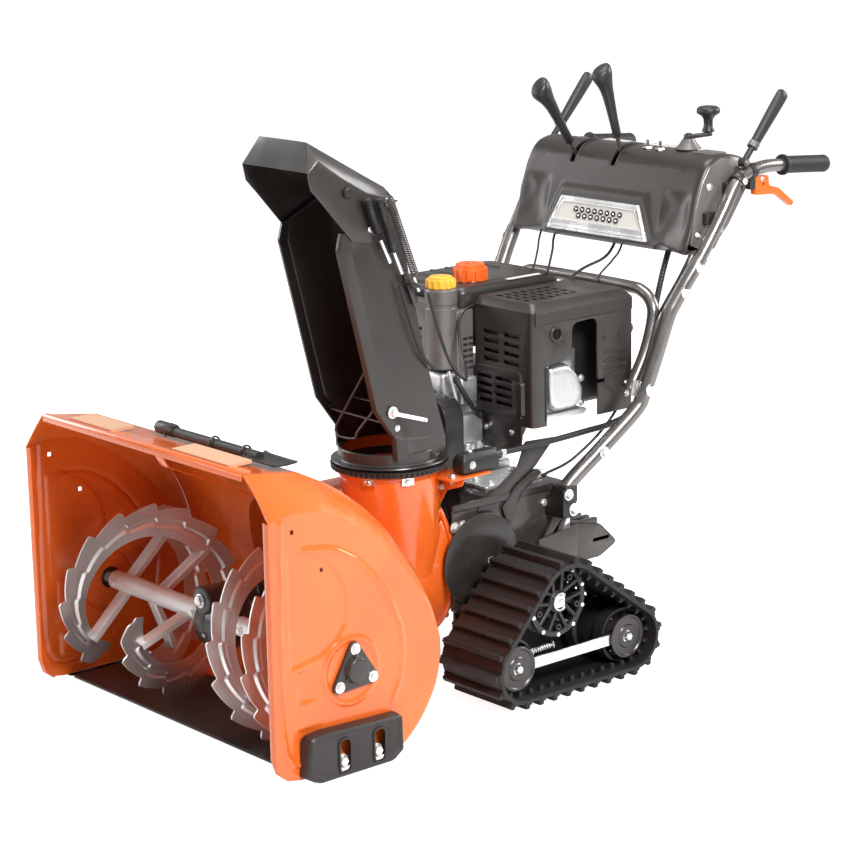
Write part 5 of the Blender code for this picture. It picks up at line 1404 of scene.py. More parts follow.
cheeks = spoked(0.335, 0.01) + spoked(0.236, 0.01)
cheeks += lathe(rectangle(0, 0, 0.02, 0.1), (0.24, HUB_Y, HUB_Z), OUT, 32)
arms = []
for a in around(10, 18):
    arms.append(rod((0.235, HUB_Y + 0.0675 * math.cos(a), HUB_Z + 0.0675 * math.sin(a)),
                    (0.347, HUB_Y + 0.0675 * math.cos(a), HUB_Z + 0.0675 * math.sin(a)), 0.0045, sides=18,
                    round_end=0.0015))
axle = rod((0.13, HUB_Y, HUB_Z), (0.335, HUB_Y, HUB_Z), 0.0118, sides=32)
nave = [loft([[(x, HUB_Y + y, HUB_Z + z) for y, z in rounded(rectangle(-s, -s, s, s), 0.002)]
              for x, s in ((0.344, 0.0125), (0.35, 0.0125), (0.3515, 0.0112))]),
        bolt((0.3515, HUB_Y, HUB_Z), OUT, 0.0062),
        tube(smooth([(0.3525, HUB_Y + 0.0165 * math.cos(math.radians(a)), HUB_Z + 0.0165
                      * math.sin(math.radians(a))) for a in range(50, 311, 20)], 0.003), 0.002, 10)]
add_pair("sprocket_cheeks", cheeks, "dark_plastic", "drive_sprocket_{}", crease=30,
         replaces="drive_sprocket_{}")
add_pair("sprocket_pins", merged([*arms, axle, *nave]), "bright", "drive_sprocket_{}", crease=30)

for centre_y, place in ((FRONT_Y, "front"), (REAR_Y, "rear")):
    profile = [(0.0106, 0), (0.052, 0), (0.0552, 0.002), (0.0555, 0.006), (0.0555, 0.026), (0.048, 0.03),
               (0.048, 0.08), (0.0555, 0.084), (0.0555, 0.1085), (0.0545, 0.11), (0.05, 0.11),
               (0.0485, 0.108), (0.0455, 0.099), (0.03, 0.096), (0.024, 0.0985), (0.0225, 0.104),
               (0.0205, 0.106), (0.018, 0.106), (0.017, 0.104), (0.0106, 0.104)]
    hub = ring_lathe([(0.0108, 0), (0.0165, 0), (0.0175, 0.001), (0.0175, 0.0025), (0.0165, 0.0035),
                      (0.0108, 0.0035)], (0.3385, centre_y, AXLE_Z), OUT, 36)
    spots = [screw_head((0.3325, centre_y + 0.038 * math.cos(a), AXLE_Z + 0.038 * math.sin(a)), OUT, 0.0028)
             for a in around(6)]
    face = ring_lathe([(0.0125, 0), (0.043, 0), (0.044, 0.0008), (0.044, 0.0034), (0.0428, 0.0042),
                       (0.039, 0.0042), (0.037, 0.0022), (0.024, 0.0022), (0.022, 0.004), (0.0125, 0.0044)],
                      (0.3578, centre_y, AXLE_Z), OUT, 72)
    wheel = f"{place}_wheel"
    add_pair(f"{wheel}_face", face, "black", wheel + "_{}", crease=30)
    add_pair(f"{wheel}_tyre", ring_lathe(profile, (0.235, centre_y, AXLE_Z), OUT, 72), "dark_plastic",
             wheel + "_{}", crease=30, replaces=wheel + "_{}")
    add_pair(f"{wheel}_hub", merged([hub, *spots]), "zinc", wheel + "_{}", crease=30)

corners = rounded([(0.284, 0.064), (0.608, 0.064), (0.608, 0.092), (0.47, 0.178), (0.44, 0.204),
                   (0.395, 0.204), (0.375, 0.178), (0.284, 0.096)], 0.01)
carrier = prism(corners, "X", 0.19, 0.196)
holes = [rod((0.18, HUB_Y, HUB_Z), (0.21, HUB_Y, HUB_Z), 0.0135, sides=32),
         prism(rounded([(0.35, 0.085), (0.48, 0.085), (0.455, 0.135), (0.395, 0.135)], 0.012), "X", 0.18,
               0.21)]
pins, bar = [], []
for y in (FRONT_Y, REAR_Y):
    pins += [rod((0.19, y, AXLE_Z), (0.3485, y, AXLE_Z), 0.01, sides=32),
             bolt((0.357, y, AXLE_Z), OUT, 0.008, height=0.0085)]
tie = grid([[(x, y, z) for x, z in ((0.3494, 0.068), (0.3494, 0.088), (0.3505, 0.0895), (0.356, 0.0895),
                                    (0.357, 0.088), (0.357, 0.068), (0.356, 0.0665), (0.3505, 0.0665))]
            for y in (0.29, 0.602)], close_columns=True)
tie.faces += [tuple(range(8)), tuple(range(15, 7, -1))]
tension = [rod((0.353, 0.34, 0.102), (0.353, 0.392, 0.104), 0.0035, sides=16),
           bolt((0.353, 0.392, 0.104), BACK, 0.006), bolt((0.353, 0.34, 0.102), AHEAD, 0.006),
           coil((0.353, 0.346, 0.1023), (0.353, 0.388, 0.1037), 0.0055, 0.0011, 7, 8)]
add_pair("track_carrier", carrier, "black", cutters=holes, bevel=0.001, replaces="track_frame_{}")
add_pair("track_tie", merged([*pins, tie]), "zinc", crease=30)
add_pair("track_tension", merged(tension), "zinc", crease=30)

half = 0.165
side_rows = []
for y in (0.31, 0.3115, 0.5985, 0.6):
    fold = 0.002 if y in (0.31, 0.6) else 0
    side_rows.append([(half - fold, y, z) if (z != 0.296) else (half - fold + 0.0012, y, z) for z in
                      (0.107, 0.109, 0.285, 0.296, 0.305, 0.348)]
                     + [(half - fold + 0.004, y, 0.352), (half - fold + 0.004, y, 0.36)])
panel = grid(side_rows)
back_wall = [block((-half + 0.004, 0.3962, 0.107), (half - 0.004, 0.4008, 0.36)),
             block((-half + 0.004, 0.396, 0.3565), (half - 0.004, 0.6, 0.36)),
             block((-half + 0.004, 0.5965, 0.107), (half - 0.004, 0.5998, 0.3565)),
             block((-half + 0.004, 0.396, 0.1072), (half - 0.004, 0.5, 0.1108))]
add("frame_plates", merged(back_wall), "black", bevel=0.001, replaces=["frame"])
add_pair("frame_side", panel, "frame_grey", sheet=0.003)
rail = soft_box((half - 0.004, 0.3095, 0.3455), (half + 0.007, 0.6003, 0.36), 0.002, 0.002)
disc = lathe([(0, 0), (0.094, 0), (0.095, 0.001), (0.095, 0.003), (0.092, 0.0045), (0.06, 0.005),
              (0.052, 0.0062), (0, 0.0062)], (0.181, 0.368, 0.242), OUT, 72)
spacer = soft_box((0.163, 0.345, 0.2), (0.182, 0.395, 0.3), 0.004)
brace = prism(rounded([(0.3, 0.145), (0.47, 0.145), (0.47, 0.225), (0.43, 0.238), (0.3, 0.238)], 0.01), "X",
              0.166, 0.1805)
add_pair("frame_disc", merged([rail, disc, spacer, brace]), "black", crease=30)
heads = [bolt((0.1872, 0.39, 0.237), OUT, 0.006), bolt((0.1855, 0.448, 0.212), OUT, 0.0048),
         bolt((0.1855, 0.435, 0.18), OUT, 0.006), bolt((0.169, 0.312, 0.316), OUT, 0.0075),
         bolt((0.169, 0.333, 0.318), OUT, 0.006), bolt((0.1655, 0.418, 0.308), OUT, 0.006),
         bolt((0.1655, 0.548, 0.322), OUT, 0.007)]
add_pair("frame_bolts", merged(heads), "bright", crease=25)
straps = prism(rounded([(0.372, 0.304), (0.4, 0.302), (0.432, 0.342), (0.524, 0.4), (0.58, 0.452),
                        (0.5, 0.456), (0.478, 0.408), (0.372, 0.345)], 0.006), "X", 0.166, 0.17)
straps += prism(rounded([(0.444, 0.299), (0.456, 0.299), (0.486, 0.356), (0.54, 0.388), (0.52, 0.398),
                         (0.47, 0.372), (0.432, 0.335)], 0.005), "X", 0.1705, 0.1745)
straps += prism(rounded([(0.545, 0.3), (0.566, 0.296), (0.486, 0.208), (0.47, 0.204)], 0.004), "X", 0.199,
                0.203)
straps += prism(rounded([(0.566, 0.3), (0.582, 0.296), (0.552, 0.235), (0.538, 0.222)], 0.004), "X", 0.199,
                0.203)
add_pair("frame_straps", straps, "black", bevel=0.001)
arm = prism(rounded([(0.576, 0.3), (0.592, 0.3), (0.6, 0.236), (0.572, 0.236)], 0.003), "X", 0.19, 0.196)
add_pair("frame_hanger", arm, "bright", bevel=0.001)
mount = [tube(smooth([(0.12, 0.5, 0.364), (0.12, 0.528, 0.372), (0.12, 0.575, 0.372),
                      (0.12, 0.5985, 0.364)], 0.01), 0.007, 12),
         soft_box((0.04, 0.43, 0.3602), (0.13, 0.585, 0.368), 0.004, 0.002)]
add("engine_mount", merged(mount) + merged([bolt((x, y, 0.368), UP, 0.006) for x in (0.07, 0.115)
                                            for y in (0.455, 0.56)]), "bright", crease=30)
tray = [(0.595, 0.278), (0.673, 0.262), (0.723, 0.214), (0.673, 0.191), (0.595, 0.191)]
skin = grid([[(x, y, z) for y, z in rounded(tray, [0, 0.012, 0.012, 0.01, 0], 4)[:-1]] for x in (-0.2, 0.2)])
cheek = both(prism(rounded(tray, [0, 0.012, 0.012, 0.01, 0], 4), "X", 0.1965, 0.2))
add("rear_tray", skin, "frame_grey", sheet=-0.003, bevel=0.0008,
    cutters=[block((-0.12, 0.6, 0.2675 - 0.02), (-0.02, 0.66, 0.3))])
treads = merged([block((-0.188 + 0.0235 * k, 0.606, 0.263), (-0.188 + 0.0235 * k + 0.011, 0.668, 0.2745))
                 for k in range(17)])
add("tray_treads", treads, "black", bevel=0.0008)
wing = both(prism(rounded([(0.5, 0.262), (0.59, 0.272), (0.605, 0.276), (0.605, 0.195), (0.56, 0.2),
                           (0.5, 0.226)], 0.004), "X", 0.2035, 0.2065))
add("tray_wings", wing, "frame_grey", bevel=0.0008)
add("rear_tray_cheeks", cheek, "frame_grey", bevel=0.0012, cutters=[
    block((0.19, 0.655, 0.225), (0.21, 0.7, 0.232))])


# ================================================================ handles and console
GRIP_X = 0.2835
CRANK = (0.15, 0.978)
SWITCH_XS = (0.056, 0.092)
LEVER_SLOTS = ((-0.12, 0.905), (0, 0.906))
lower = [(0.205, 0.57, 0.318), (0.205, 0.577, 0.356), (0.22, 0.658, 0.423), (0.235, 0.74, 0.491),
         (0.24, 0.759, 0.524), (0.25, 0.784, 0.6), (0.258, 0.809, 0.676), (0.262, 0.823, 0.702),
         (0.27, 0.851, 0.746), (0.278, 0.882, 0.79), (GRIP_X, 0.935, 0.868), (GRIP_X, 0.972, 0.922),
         (GRIP_X, 1, 0.944), (GRIP_X, 1.05, 0.954), (GRIP_X, 1.11, 0.953), (GRIP_X, 1.236, 0.9433)]
upper_tube = tube(smooth(lower[7:], 0.006), 0.0132, 28)
lower_path = smooth(lower[:10], 0.006)
lower_tube = tube(lower_path, 0.0155, 28, ribs=lambda i: 1 if i < len(lower_path) - 2 else 0.97)
joints = [bolt((0.264 + 0.015, 0.838, 0.723), (1, -0.05, 0), 0.008),
          bolt((0.274 + 0.015, 0.868, 0.77), OUT, 0.007),
          bolt((0.22 + 0.015, 0.652, 0.419), (1, -0.1, 0), 0.0075),
          bolt((0.24 + 0.015, 0.762, 0.532), OUT, 0.0085), bolt((0.222, 0.566, 0.345), OUT, 0.0075),
          bolt((0.222, 0.58, 0.312), OUT, 0.0085), bolt((GRIP_X + 0.0135, 0.985, 0.934), OUT, 0.0065)]
clamp = soft_box((0.1656, 0.554, 0.296), (0.2215, 0.5915, 0.333), 0.006, 0.003)
clamp += soft_box((0.186, 0.558, 0.325), (0.2235, 0.593, 0.362), 0.008, 0.004)
clamp += prism([(0.166, 0.3), (0.222, 0.3), (0.222, 0.356), (0.19, 0.362)], "Y", 0.552, 0.556)
profile = [(0.0138, 0), (0.0205, 0), (0.0215, 0.0015), (0.0215, 0.005), (0.0205, 0.0065), (0.0185, 0.008)]
for k in range(15):
    profile += [(0.0178, 0.01 + k * 0.0075), (0.0178, 0.012 + k * 0.0075), (0.017, 0.0128 + k * 0.0075),
                (0.017, 0.015 + k * 0.0075)]
profile += [(0.018, 0.124), (0.018, 0.129), (0.0165, 0.1325), (0.012, 0.1341), (0, 0.1344)]
start, end = Vector((GRIP_X, 1.112, 0.9529)), Vector((GRIP_X, 1.246, 0.9426))
hand_grip = lathe(profile, start, end - start, 40)
add_pair("handle_bar", lower_tube + upper_tube, "tube", crease=50, replaces="handle_tube_{}")
add_pair("handle_clamp", clamp, "dark_plastic", crease=30)
add_pair("handle_bolts", merged(joints), "bright", crease=25)
add_pair("hand_grip", hand_grip, "rubber", crease=32)
half_brace = [(0.2135, 0.746, 0.53), (0.2135, 0.787, 0.596), (0.211, 0.811, 0.655), (0.204, 0.819, 0.69),
              (0.175, 0.822, 0.714), (0.12, 0.823, 0.72)]
path = smooth(half_brace + [(-x, y, z) for x, y, z in reversed(half_brace)], 0.006)
add("brace_tube", tube(path, 0.0125, 28), "tube", crease=50, replaces=["cross_brace"])
ears = both(merged([prism([(0.734, 0.52), (0.757, 0.514), (0.765, 0.545), (0.742, 0.552)], "X", 0.226,
                          0.229), bolt((0.2255, 0.749, 0.533), (-1, 0, 0), 0.007)]))
add("brace_ears", ears, "bright", bevel=0.0006)

front_line = [(0.866, 0.806), (0.88, 0.88), (0.902, 0.938), (0.925, 0.972), (0.958, 0.985), (0.998, 0.983),
              (1.036, 0.97), (1.052, 0.944), (1.046, 0.92)]
skin_line = [(p.y, p.z) for p in smooth([(0, y, z) for y, z in front_line], 0.0065)]
skin_line = [(0.945, 0.794), (0.925, 0.7885), (0.906, 0.7845), (0.888, 0.79), (0.872, 0.799)] + skin_line
centre = Vector((0.955, 0.89))


def lamp_frame(x, z):
    """How far inside the raised surround of the lamp a point of the front is, 0 to 1."""
    reach = 0.172 - (z - 0.806) * 0.46 - abs(x)
    top = 0.903 - z
    share = min(1, max(0, min(reach, top) / 0.01))
    return share * share * (3 - 2 * share)


def console_point(x, y, z):
    out = (Vector((y, z)) - centre).normalized()
    shrink = 0
    end = abs(x) - 0.246
    if end > 0:
        shrink = 0.012 * (1 - math.sqrt(max(0, 1 - (end / 0.0125) ** 2)))
    lift = 0
    if y < 0.925 and z > 0.796:
        lift += 0.0075 * lamp_frame(x, z)
        dent = max(0, 1 - ((abs(x) - 0.205) / 0.04) ** 2) * max(0, 1 - ((z - 0.868) / 0.05) ** 2)
        lift -= 0.012 * dent * (1 - lamp_frame(x, z))
        lift += 0.0035 * math.exp(-((z - 0.812) / 0.008) ** 2) * (1 - lamp_frame(x, z))
        lift += 0.013 * max(0, min(1, (abs(x) - 0.19) / 0.055)) * math.exp(-((z - 0.812) / 0.026) ** 2)
    lift += 0.0016 * math.exp(-((z - 0.956) / 0.004) ** 2) * (y < 0.93) * (abs(x) < 0.2)
    return (x, y + out.x * (lift - shrink), z + out.y * (lift - shrink))


ends = [0.2525, 0.2555, 0.2575, 0.2585]
evenly = [-0.2585 + 0.517 * k / 104 for k in range(105)]
xs = [-x for x in reversed(ends)] + [x for x in evenly if abs(x) < 0.25] + ends
shell = grid([[console_point(x, y, z) for y, z in skin_line] for x in xs])
cuts = [prism(rounded(rectangle(x - 0.007, y0, x + 0.007, 1.008), 0.006), "Z", 0.925, 1.05)
        for x, y0 in LEVER_SLOTS]
cuts.append(rod((*CRANK, 0.96), (*CRANK, 1), 0.0095, sides=32))
cuts += [prism(rounded(rectangle(x - 0.006, 0.944, x + 0.006, 0.966), 0.004), "Z", 0.96, 1)
         for x in SWITCH_XS]
add("console_shell", shell, "plastic", sheet=-0.0035, cutters=cuts, crease=40, replaces=["console"])
end_line = rounded([(centre.x + (y - centre.x) * 0.93, centre.y + (z - centre.y) * 0.93)
                    for y, z in [*front_line, (0.985, 0.838), (0.945, 0.8), (0.9, 0.792)]], 0.006, 3)
plate_end = both(loft([[(x, centre.x + (y - centre.x) * s, centre.y + (z - centre.y) * s)
                        for y, z in end_line] for x, s in ((0.2535, 1), (0.258, 1), (0.2592, 0.975))]))
add("console_ends", plate_end, "grey_plastic", crease=30)
add("console_screws", both(merged([bolt((0.2592, y, z), OUT, 0.0052) for y, z in
                                   ((0.893, 0.83), (0.925, 0.925), (1.01, 0.952), (0.958, 0.835))])), "zinc",
    crease=25)
bridge = both(merged([soft_box((0.257, 0.905, 0.85), (0.272, 0.94, 0.874), 0.004, 0.003),
                      soft_box((0.257, 0.962, 0.905), (0.272, 0.992, 0.93), 0.004, 0.003)]))
add("console_brackets", bridge, "dark_plastic", crease=30)

TILT = (Matrix.Translation((0, 0.866, 0.806)) @ Matrix.Rotation(math.radians(-10.7), 4, "X")
        @ Matrix.Translation((0, -0.862, -0.806)))


def trapeze(y, inset, low=0):
    outline = [(-0.148 + inset * 1.25, 0.806 + inset + low), (0.148 - inset * 1.25, 0.806 + inset + low),
               (0.115 - inset * 0.85, 0.878 - inset), (-0.115 + inset * 0.85, 0.878 - inset)]
    return [(x, y, z) for x, z in rounded(outline, 0.003)]


bezel = [trapeze(0.861, 0), trapeze(0.852, 0), trapeze(0.8492, 0.0022), trapeze(0.8492, 0.005),
         trapeze(0.853, 0.0062), trapeze(0.853, 0.0085), trapeze(0.85, 0.0095, 0.01),
         trapeze(0.85, 0.012, 0.01), trapeze(0.856, 0.015, 0.01)]
lamp = grid(bezel, close_columns=True)
lamp.faces.append(tuple(reversed(range(len(bezel[0])))))
pane = Shape(trapeze(0.8524, 0.0115, 0.01), [tuple(range(len(bezel[-1])))])
lamp += prism([(-0.135, 0.8125), (0.135, 0.8125), (0.133, 0.8165), (-0.133, 0.8165)], "Y", 0.853, 0.8505)
add("lamp_bezel", lamp.moved(TILT), "bright", crease=28, replaces=["headlight"])
add("lamp_pane", pane.moved(TILT), "label")
leds, dots = [], []
for row, z in enumerate((0.84, 0.853)):
    for k in range(7 + row):
        x = -0.066 + (k - 0.5 * row) * 0.0185 + 0.01
        leds.append(ring_lathe([(0.0028, 0), (0.0062, 0), (0.0062, 0.0012), (0.0052, 0.0022), (0.0034, 0.001),
                                (0.0028, 0.0002)], (x, 0.8522, z), AHEAD, 20))
        dots.append(lathe([(0, 0), (0.003, 0), (0.0024, 0.0012), (0, 0.0018)], (x, 0.8522, z), AHEAD, 16))
add("lamp_reflectors", merged(leds).moved(TILT), "dark_plastic", crease=40)
add("lamp_leds", merged(dots).moved(TILT), "lens", crease=40)

dash = prism(rounded(rectangle(0.022, 0.9685, 0.12, 0.9985), 0.006), "Z", 0.9825, 0.9872)
dash += prism(rounded(rectangle(-0.1, 0.9685, -0.018, 0.9985), 0.006), "Z", 0.9825, 0.9872)
dash += prism(rounded(rectangle(0.18, 0.955, 0.238, 0.9985), 0.006), "Z", 0.9825, 0.9868)
add("dash_panel", dash, "grey_plastic", bevel=0.0006)
stripes = merged([block((x, 0.972, 0.987), (x + 0.011, 0.994, 0.98745))
                  for x in (0.028, 0.046, 0.064, 0.082, 0.1, -0.094, -0.076, -0.058, -0.04)])
add("dash_blanks", stripes, "label")
slot_rims = []
for x, y0 in LEVER_SLOTS:
    line = [p for p in skin_line if y0 - 0.002 < p[0] < 1.01 and p[1] > 0.91]
    for shift in (-0.0085, 0.0085):
        slot_rims.append(tube([(x + shift, y, z + 0.0008) for y, z in line], 0.0016, 8))
base = loft([[(x, y, z) for x in (-0.25, 0.25)] + [(x, y + 0.003, z - 0.002) for x in (0.25, -0.25)]
             for y, z in ((0.948, 0.798), (1.044, 0.922))])
add("console_base", base, "dark_plastic")
add("slot_rims", merged(slot_rims), "dark_plastic", crease=60)


def club(foot, tip):
    """A lever's moulded handle: slim below, swelling to a slanting cap with a rim."""
    foot, tip = Vector(foot), Vector(tip)
    along_it = (tip - foot).normalized()
    lean = Vector((0, -along_it.z, along_it.y))
    length = (tip - foot).length
    rings = []
    for at, wide, deep, shift in ((0.085, 0.0076, 0.0076, 0), (0.087, 0.009, 0.009, 0),
                                  (0.12, 0.0094, 0.0096, 0), (0.15, 0.0104, 0.011, 0),
                                  (0.175, 0.0118, 0.0128, 0), (0.19, 0.013, 0.0148, 0.001),
                                  (0.202, 0.015, 0.0178, 0.002), (0.211, 0.0172, 0.0208, 0.003),
                                  (0.2185, 0.0188, 0.0228, 0.004), (0.224, 0.0192, 0.0232, 0.0045),
                                  (0.229, 0.0184, 0.0222, 0.0045), (0.233, 0.016, 0.0192, 0.0042),
                                  (0.2352, 0.0115, 0.0138, 0.0036), (0.236, 0.004, 0.005, 0.003)):
        share = (at - 0.085) / (0.236 - 0.085)
        tilt = 0.3 * max(0, share - 0.6) / 0.4
        centre_at = foot + along_it * (0.085 + share * (length - 0.085 - 0.006)) + lean * shift
        rings.append([centre_at + Vector((wide * math.cos(a), 0, 0)) + lean * deep * math.sin(a)
                      - along_it * tilt * deep * math.sin(a) for a in around(36)])
    return loft(rings)


for body, x, pivot, tip in (("speed_lever", -0.12, (0.948, 0.915), (0.81, 1.123)),
                            ("deflector_lever", 0, (0.946, 0.924), (0.876, 1.159))):
    foot, top = (x, *pivot), (x, *tip)
    stem_end = Vector(foot).lerp(Vector(top), 0.45)
    stem = rod(foot, stem_end, 0.0045, sides=16)
    stem += rod((x - 0.006, *pivot), (x + 0.006, *pivot), 0.009, sides=32)
    add(f"{body}_stem", stem, "black", body, crease=40, replaces=[body])
    add(f"{body}_club", club(foot, top), "dark_plastic", body, crease=50)

x, y = CRANK
crank = lathe([(0, 0.95), (0.0085, 0.95), (0.0088, 0.951), (0.0088, 0.987), (0.0262, 0.987),
               (0.0265, 0.9885), (0.025, 0.9905), (0.018, 0.9985), (0.0135, 1.006), (0.012, 1.0085),
               (0, 1.0085)], (x, y, 0), UP, 48)
add("crank_skirt", crank, "grey_plastic", "chute_crank", crease=32, replaces=["chute_crank"])
arm = prism(rounded([(x - 0.0095, y - 0.009), (x + 0.0095, y - 0.009), (x + 0.007, y + 0.066),
                     (x - 0.007, y + 0.066)], [0.009, 0.009, 0.006, 0.006], 5), "Z", 1.0082, 1.0153)
arm += rod((x, y + 0.058, 1.01), (x, y + 0.058, 1.0402), 0.004, sides=20)
arm += bolt((x, y, 1.015), UP, 0.006, height=0.003)
add("crank_arm", arm, "black", "chute_crank", bevel=0.0008)
knob = lathe([(0, 1.0412), (0.0046, 1.0412), (0.0046, 1.0166), (0.0115, 1.0166), (0.013, 1.018),
              (0.013, 1.02), (0.01, 1.026), (0.0092, 1.034), (0.01, 1.043), (0.015, 1.05), (0.0225, 1.0545),
              (0.024, 1.0575), (0.024, 1.063), (0.022, 1.0665), (0.018, 1.069), (0.013, 1.0698),
              (0.008, 1.068), (0, 1.0672)], (x, y + 0.058, 0), UP, 48)
add("crank_spool", knob, "dark_plastic", "crank_knob", crease=36, replaces=["crank_knob"])
for body, x in zip(("light_switch", "heater_switch"), SWITCH_XS):
    post = lathe([(0, 0), (0.0024, 0), (0.0022, 0.004), (0.002, 0.012), (0.003, 0.026), (0.0034, 0.0295),
                  (0.0026, 0.031), (0, 0.0312)], (x, 0.955, 0.97), UP, 20)
    add(f"{body}_post", post + rod((x - 0.004, 0.955, 0.97), (x + 0.004, 0.955, 0.97), 0.005, sides=20),
        "tube", body, crease=40, replaces=[body])
collars = merged([ring_lathe([(0.0085, 0), (0.0118, 0), (0.0105, 0.003), (0.0092, 0.004), (0.0085, 0.004)],
                             (x, 0.955, 0.9838), UP, 6) for x in SWITCH_XS])
add("switch_nuts", collars, "zinc", crease=25)


def clutch():
    pivot, bend = Vector((GRIP_X, 0.999, 0.969)), Vector((GRIP_X, 1.04, 1.016))
    start, end = Vector((GRIP_X, 1.022, 0.995)), Vector((GRIP_X, 1.117, 1.102))
    direction = (end - start).normalized()
    across = Vector((0, -direction.z, direction.y))
    rings = []
    for share, wide, thick in ((0.1, 0.0085, 0.0065), (0.11, 0.0108, 0.0088), (0.3, 0.012, 0.0092),
                               (0.6, 0.0138, 0.0098), (0.9, 0.0146, 0.01), (0.965, 0.0136, 0.0092),
                               (0.992, 0.0095, 0.0066), (1, 0.0034, 0.0022)):
        spot = start.lerp(end, share)
        rings.append([spot + across * wide * a + Vector((thick * b, 0, 0)) for a, b in round_points(1, 28)])
    handle = loft(rings)
    arm = tube([pivot, pivot.lerp(bend, 0.5), bend], 0.0065, 20)
    collar = rod(start + direction * 0.002, start + direction * 0.015, 0.0115, sides=32, round_end=0.002)
    hub = rod((GRIP_X - 0.008, 0.999, 0.969), (GRIP_X + 0.008, 0.999, 0.969), 0.009, sides=32)
    return handle, merged([arm, hub]), merged([collar]), bolt((GRIP_X + 0.008, 0.999, 0.969), OUT, 0.005)


outline = [(1.028, 0.937), (1.066, 0.937), (1.069, 0.916), (1.098, 0.908), (1.144, 0.874), (1.138, 0.866),
           (1.092, 0.896), (1.062, 0.898), (1.028, 0.9)]
finger = prism(rounded(outline, [0.004, 0.004, 0.004, 0.006, 0.004, 0.003, 0.008, 0.006, 0.005], 4), "X",
               GRIP_X - 0.007, GRIP_X + 0.007)
socket = both(prism(rounded(rectangle(1.012, 0.9405, 1.03, 0.912), 0.004), "X",
                    GRIP_X - 0.006, GRIP_X + 0.006))
saddle = both(ring_lathe([(0.0134, -0.008), (0.0148, -0.008), (0.0156, -0.006), (0.0156, 0.006),
                          (0.0148, 0.008), (0.0134, 0.008)], (GRIP_X, 1.022, 0.9497), (0, 1, 0.12), 36))
saddle += both(ring_lathe([(0.0134, -0.009), (0.017, -0.009), (0.018, -0.007), (0.018, 0.007), (0.017, 0.009),
                           (0.0134, 0.009)], (GRIP_X, 0.985, 0.934), (0, 1, 0.62), 36))
add("lever_saddles", saddle + socket, "dark_plastic", crease=32)
handle, arm, collar, pin = clutch()
for side, word in SIDES:
    body = f"clutch_lever_{word}"
    add(f"{body}_bar", on(side, handle + arm), "dark_plastic", body, crease=40, replaces=[body])
    add(f"{body}_collar", on(side, collar + pin), "grey_plastic", body, crease=30)
    body = f"trigger_{word}"
    add(f"{body}_finger", on(side, finger), "orange_plastic", body, bevel=0.0012, segments=3,
        cutters=[on(side, rod((0.27, 1.052, 0.92), (0.3, 1.052, 0.92), 0.0042, sides=24))], replaces=[body])
    add(f"{body}_pin", on(side, bolt((GRIP_X + 0.007, 1.048, 0.931), OUT, 0.0035, height=0.002)), "zinc",
        body, crease=25)


# ================================================================ cables and small fittings
route = [(0.19, 0.4256, 0.452), (0.191, 0.48, 0.452), (0.193, 0.56, 0.454), (0.193, 0.64, 0.457),
         (0.193, 0.715, 0.461), (0.19, 0.772, 0.478), (0.182, 0.812, 0.53), (0.175, 0.84, 0.61),
         (0.172, 0.864, 0.69), (0.168, 0.895, 0.77), (0.158, 0.945, 0.85), (0.15, 0.975, 0.91),
         (0.15, 0.978, 0.93), (0.15, 0.978, 0.948)]
add("crank_flexible_shaft",
    tube(smooth(route, 0.0024), 0.0062, 16, ribs=lambda i: 1 + 0.05 * math.sin(i * 2.1)),
    "cable", crease=60, replaces=["crank_cable"])
route = [(0.186, 0.242, 0.79), (0.188, 0.262, 0.72), (0.19, 0.29, 0.65), (0.168, 0.345, 0.605),
         (0.118, 0.39, 0.612), (0.062, 0.425, 0.65), (0.0285, 0.462, 0.7), (0.0265, 0.54, 0.715),
         (0.0265, 0.7, 0.715), (0.02, 0.8, 0.745), (0.01, 0.885, 0.765), (0.003, 0.93, 0.825),
         (0, 0.944, 0.88), (0, 0.946, 0.91)]
add("deflector_control_cable", tube(smooth(route, 0.006), 0.003, 14), "cable", crease=60,
    replaces=["deflector_cable"])
second = [(0.18, 0.178, 0.812), (0.179, 0.205, 0.73), (0.177, 0.232, 0.672), (0.175, 0.262, 0.64)]
add("chute_side_cable", tube(smooth(second, 0.006), 0.0028, 14), "cable", "chute", crease=60)
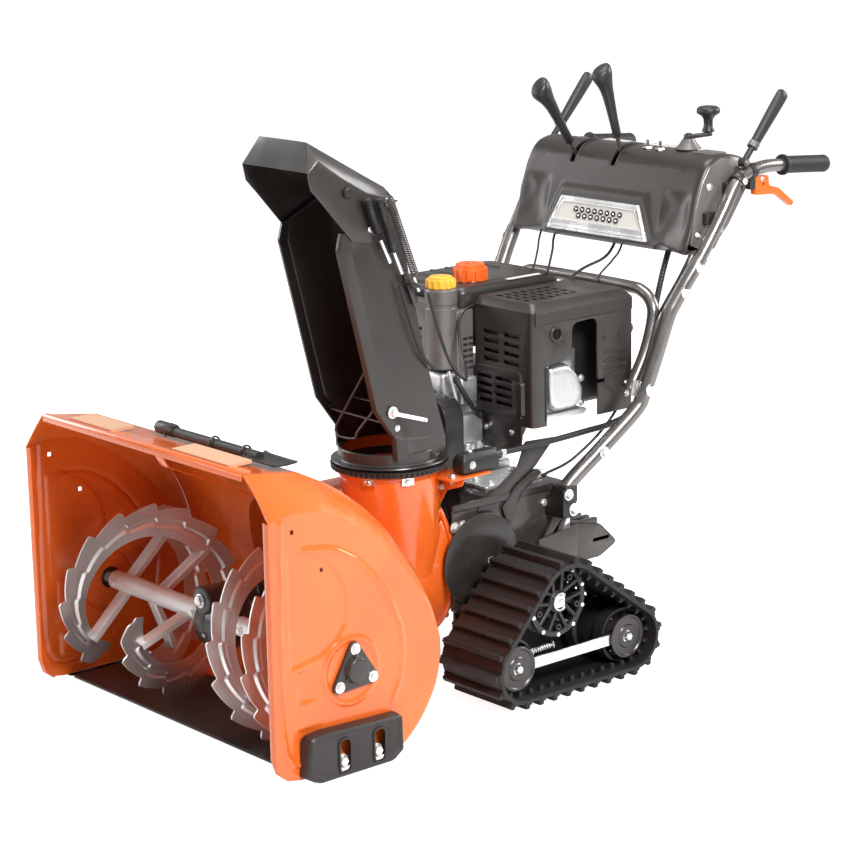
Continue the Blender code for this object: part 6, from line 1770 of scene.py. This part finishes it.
wires = [tube(smooth(line, 0.01), radius, 10) for radius, line in (
    (0.0022, [(-0.02, 0.69, 0.745), (-0.04, 0.72, 0.754), (-0.126, 0.81, 0.766), (-0.205, 0.893, 0.786),
              (-0.2, 0.93, 0.86)]),
    (0.0026, [(0.03, 0.69, 0.75), (0.005, 0.72, 0.759), (-0.08, 0.81, 0.772), (-0.16, 0.893, 0.79),
              (-0.15, 0.935, 0.88)]),
    (0.0022, [(0.135, 0.735, 0.742), (0.119, 0.755, 0.752), (0.08, 0.83, 0.768), (0.042, 0.893, 0.788),
              (0.03, 0.935, 0.88)]),
    (0.003, [(0.15, 0.56, 0.372), (0.165, 0.64, 0.4), (0.178, 0.74, 0.48), (0.215, 0.8, 0.64),
              (0.24, 0.87, 0.76), (0.24, 0.93, 0.85)]))]
add("control_wires", merged(wires), "cable", crease=60)
tool = tube([(-0.08, -0.196, 0.5605), (0.06, -0.196, 0.5605), (0.2, -0.196, 0.5605), (0.232, -0.196, 0.56)],
            0.0095, 24)
tool += lathe([(0, 0), (0.0115, 0), (0.0125, 0.002), (0.0125, 0.05), (0.011, 0.054), (0, 0.054)],
              (-0.0815, -0.196, 0.5625), OUT, 32)
blade = grid([[(x, y, z + lift) for y, z in ((-0.222, 0.561), (-0.219, 0.5575), (-0.196, 0.5562),
                                             (-0.173, 0.5575), (-0.17, 0.561))]
              for x, lift in ((0.214, 0.004), (0.232, 0.0005), (0.3, 0), (0.31, 0.001))])
add("clearing_tool", tool, "dark_plastic", crease=40, replaces=["clean_out_tool"])
add("clearing_tool_blade", blade, "dark_plastic", sheet=0.0022, bevel=0.0006)
clips = merged([tube(smooth([(x, -0.2075, 0.5505), (x, -0.2085, 0.562), (x, -0.204, 0.5705),
                             (x, -0.196, 0.5735), (x, -0.188, 0.5705), (x, -0.1835, 0.562),
                             (x, -0.1845, 0.5485)], 0.003), 0.002, 10) for x in (-0.045, 0.095, 0.19)])
add("tool_clips", clips, "black", crease=60)


# ================================================================ finishes for the imported parts
NODE_FINISH = {"orange_paint": "orange", "black_paint": "black", "grey_paint": "frame_grey",
               "bare_steel": "steel", "cast_alloy": "alloy", "black_plastic": "plastic",
               "grey_plastic": "grey_plastic", "orange_plastic": "orange_plastic",
               "yellow_plastic": "yellow_plastic", "rubber": "rubber"}
for entry in frame["record"]["subparts"]:
    node = frame["nodes"][entry["node"]]
    node.data.materials.clear()
    node.data.materials.append(FINISH[NODE_FINISH[entry["material_slot"]]])
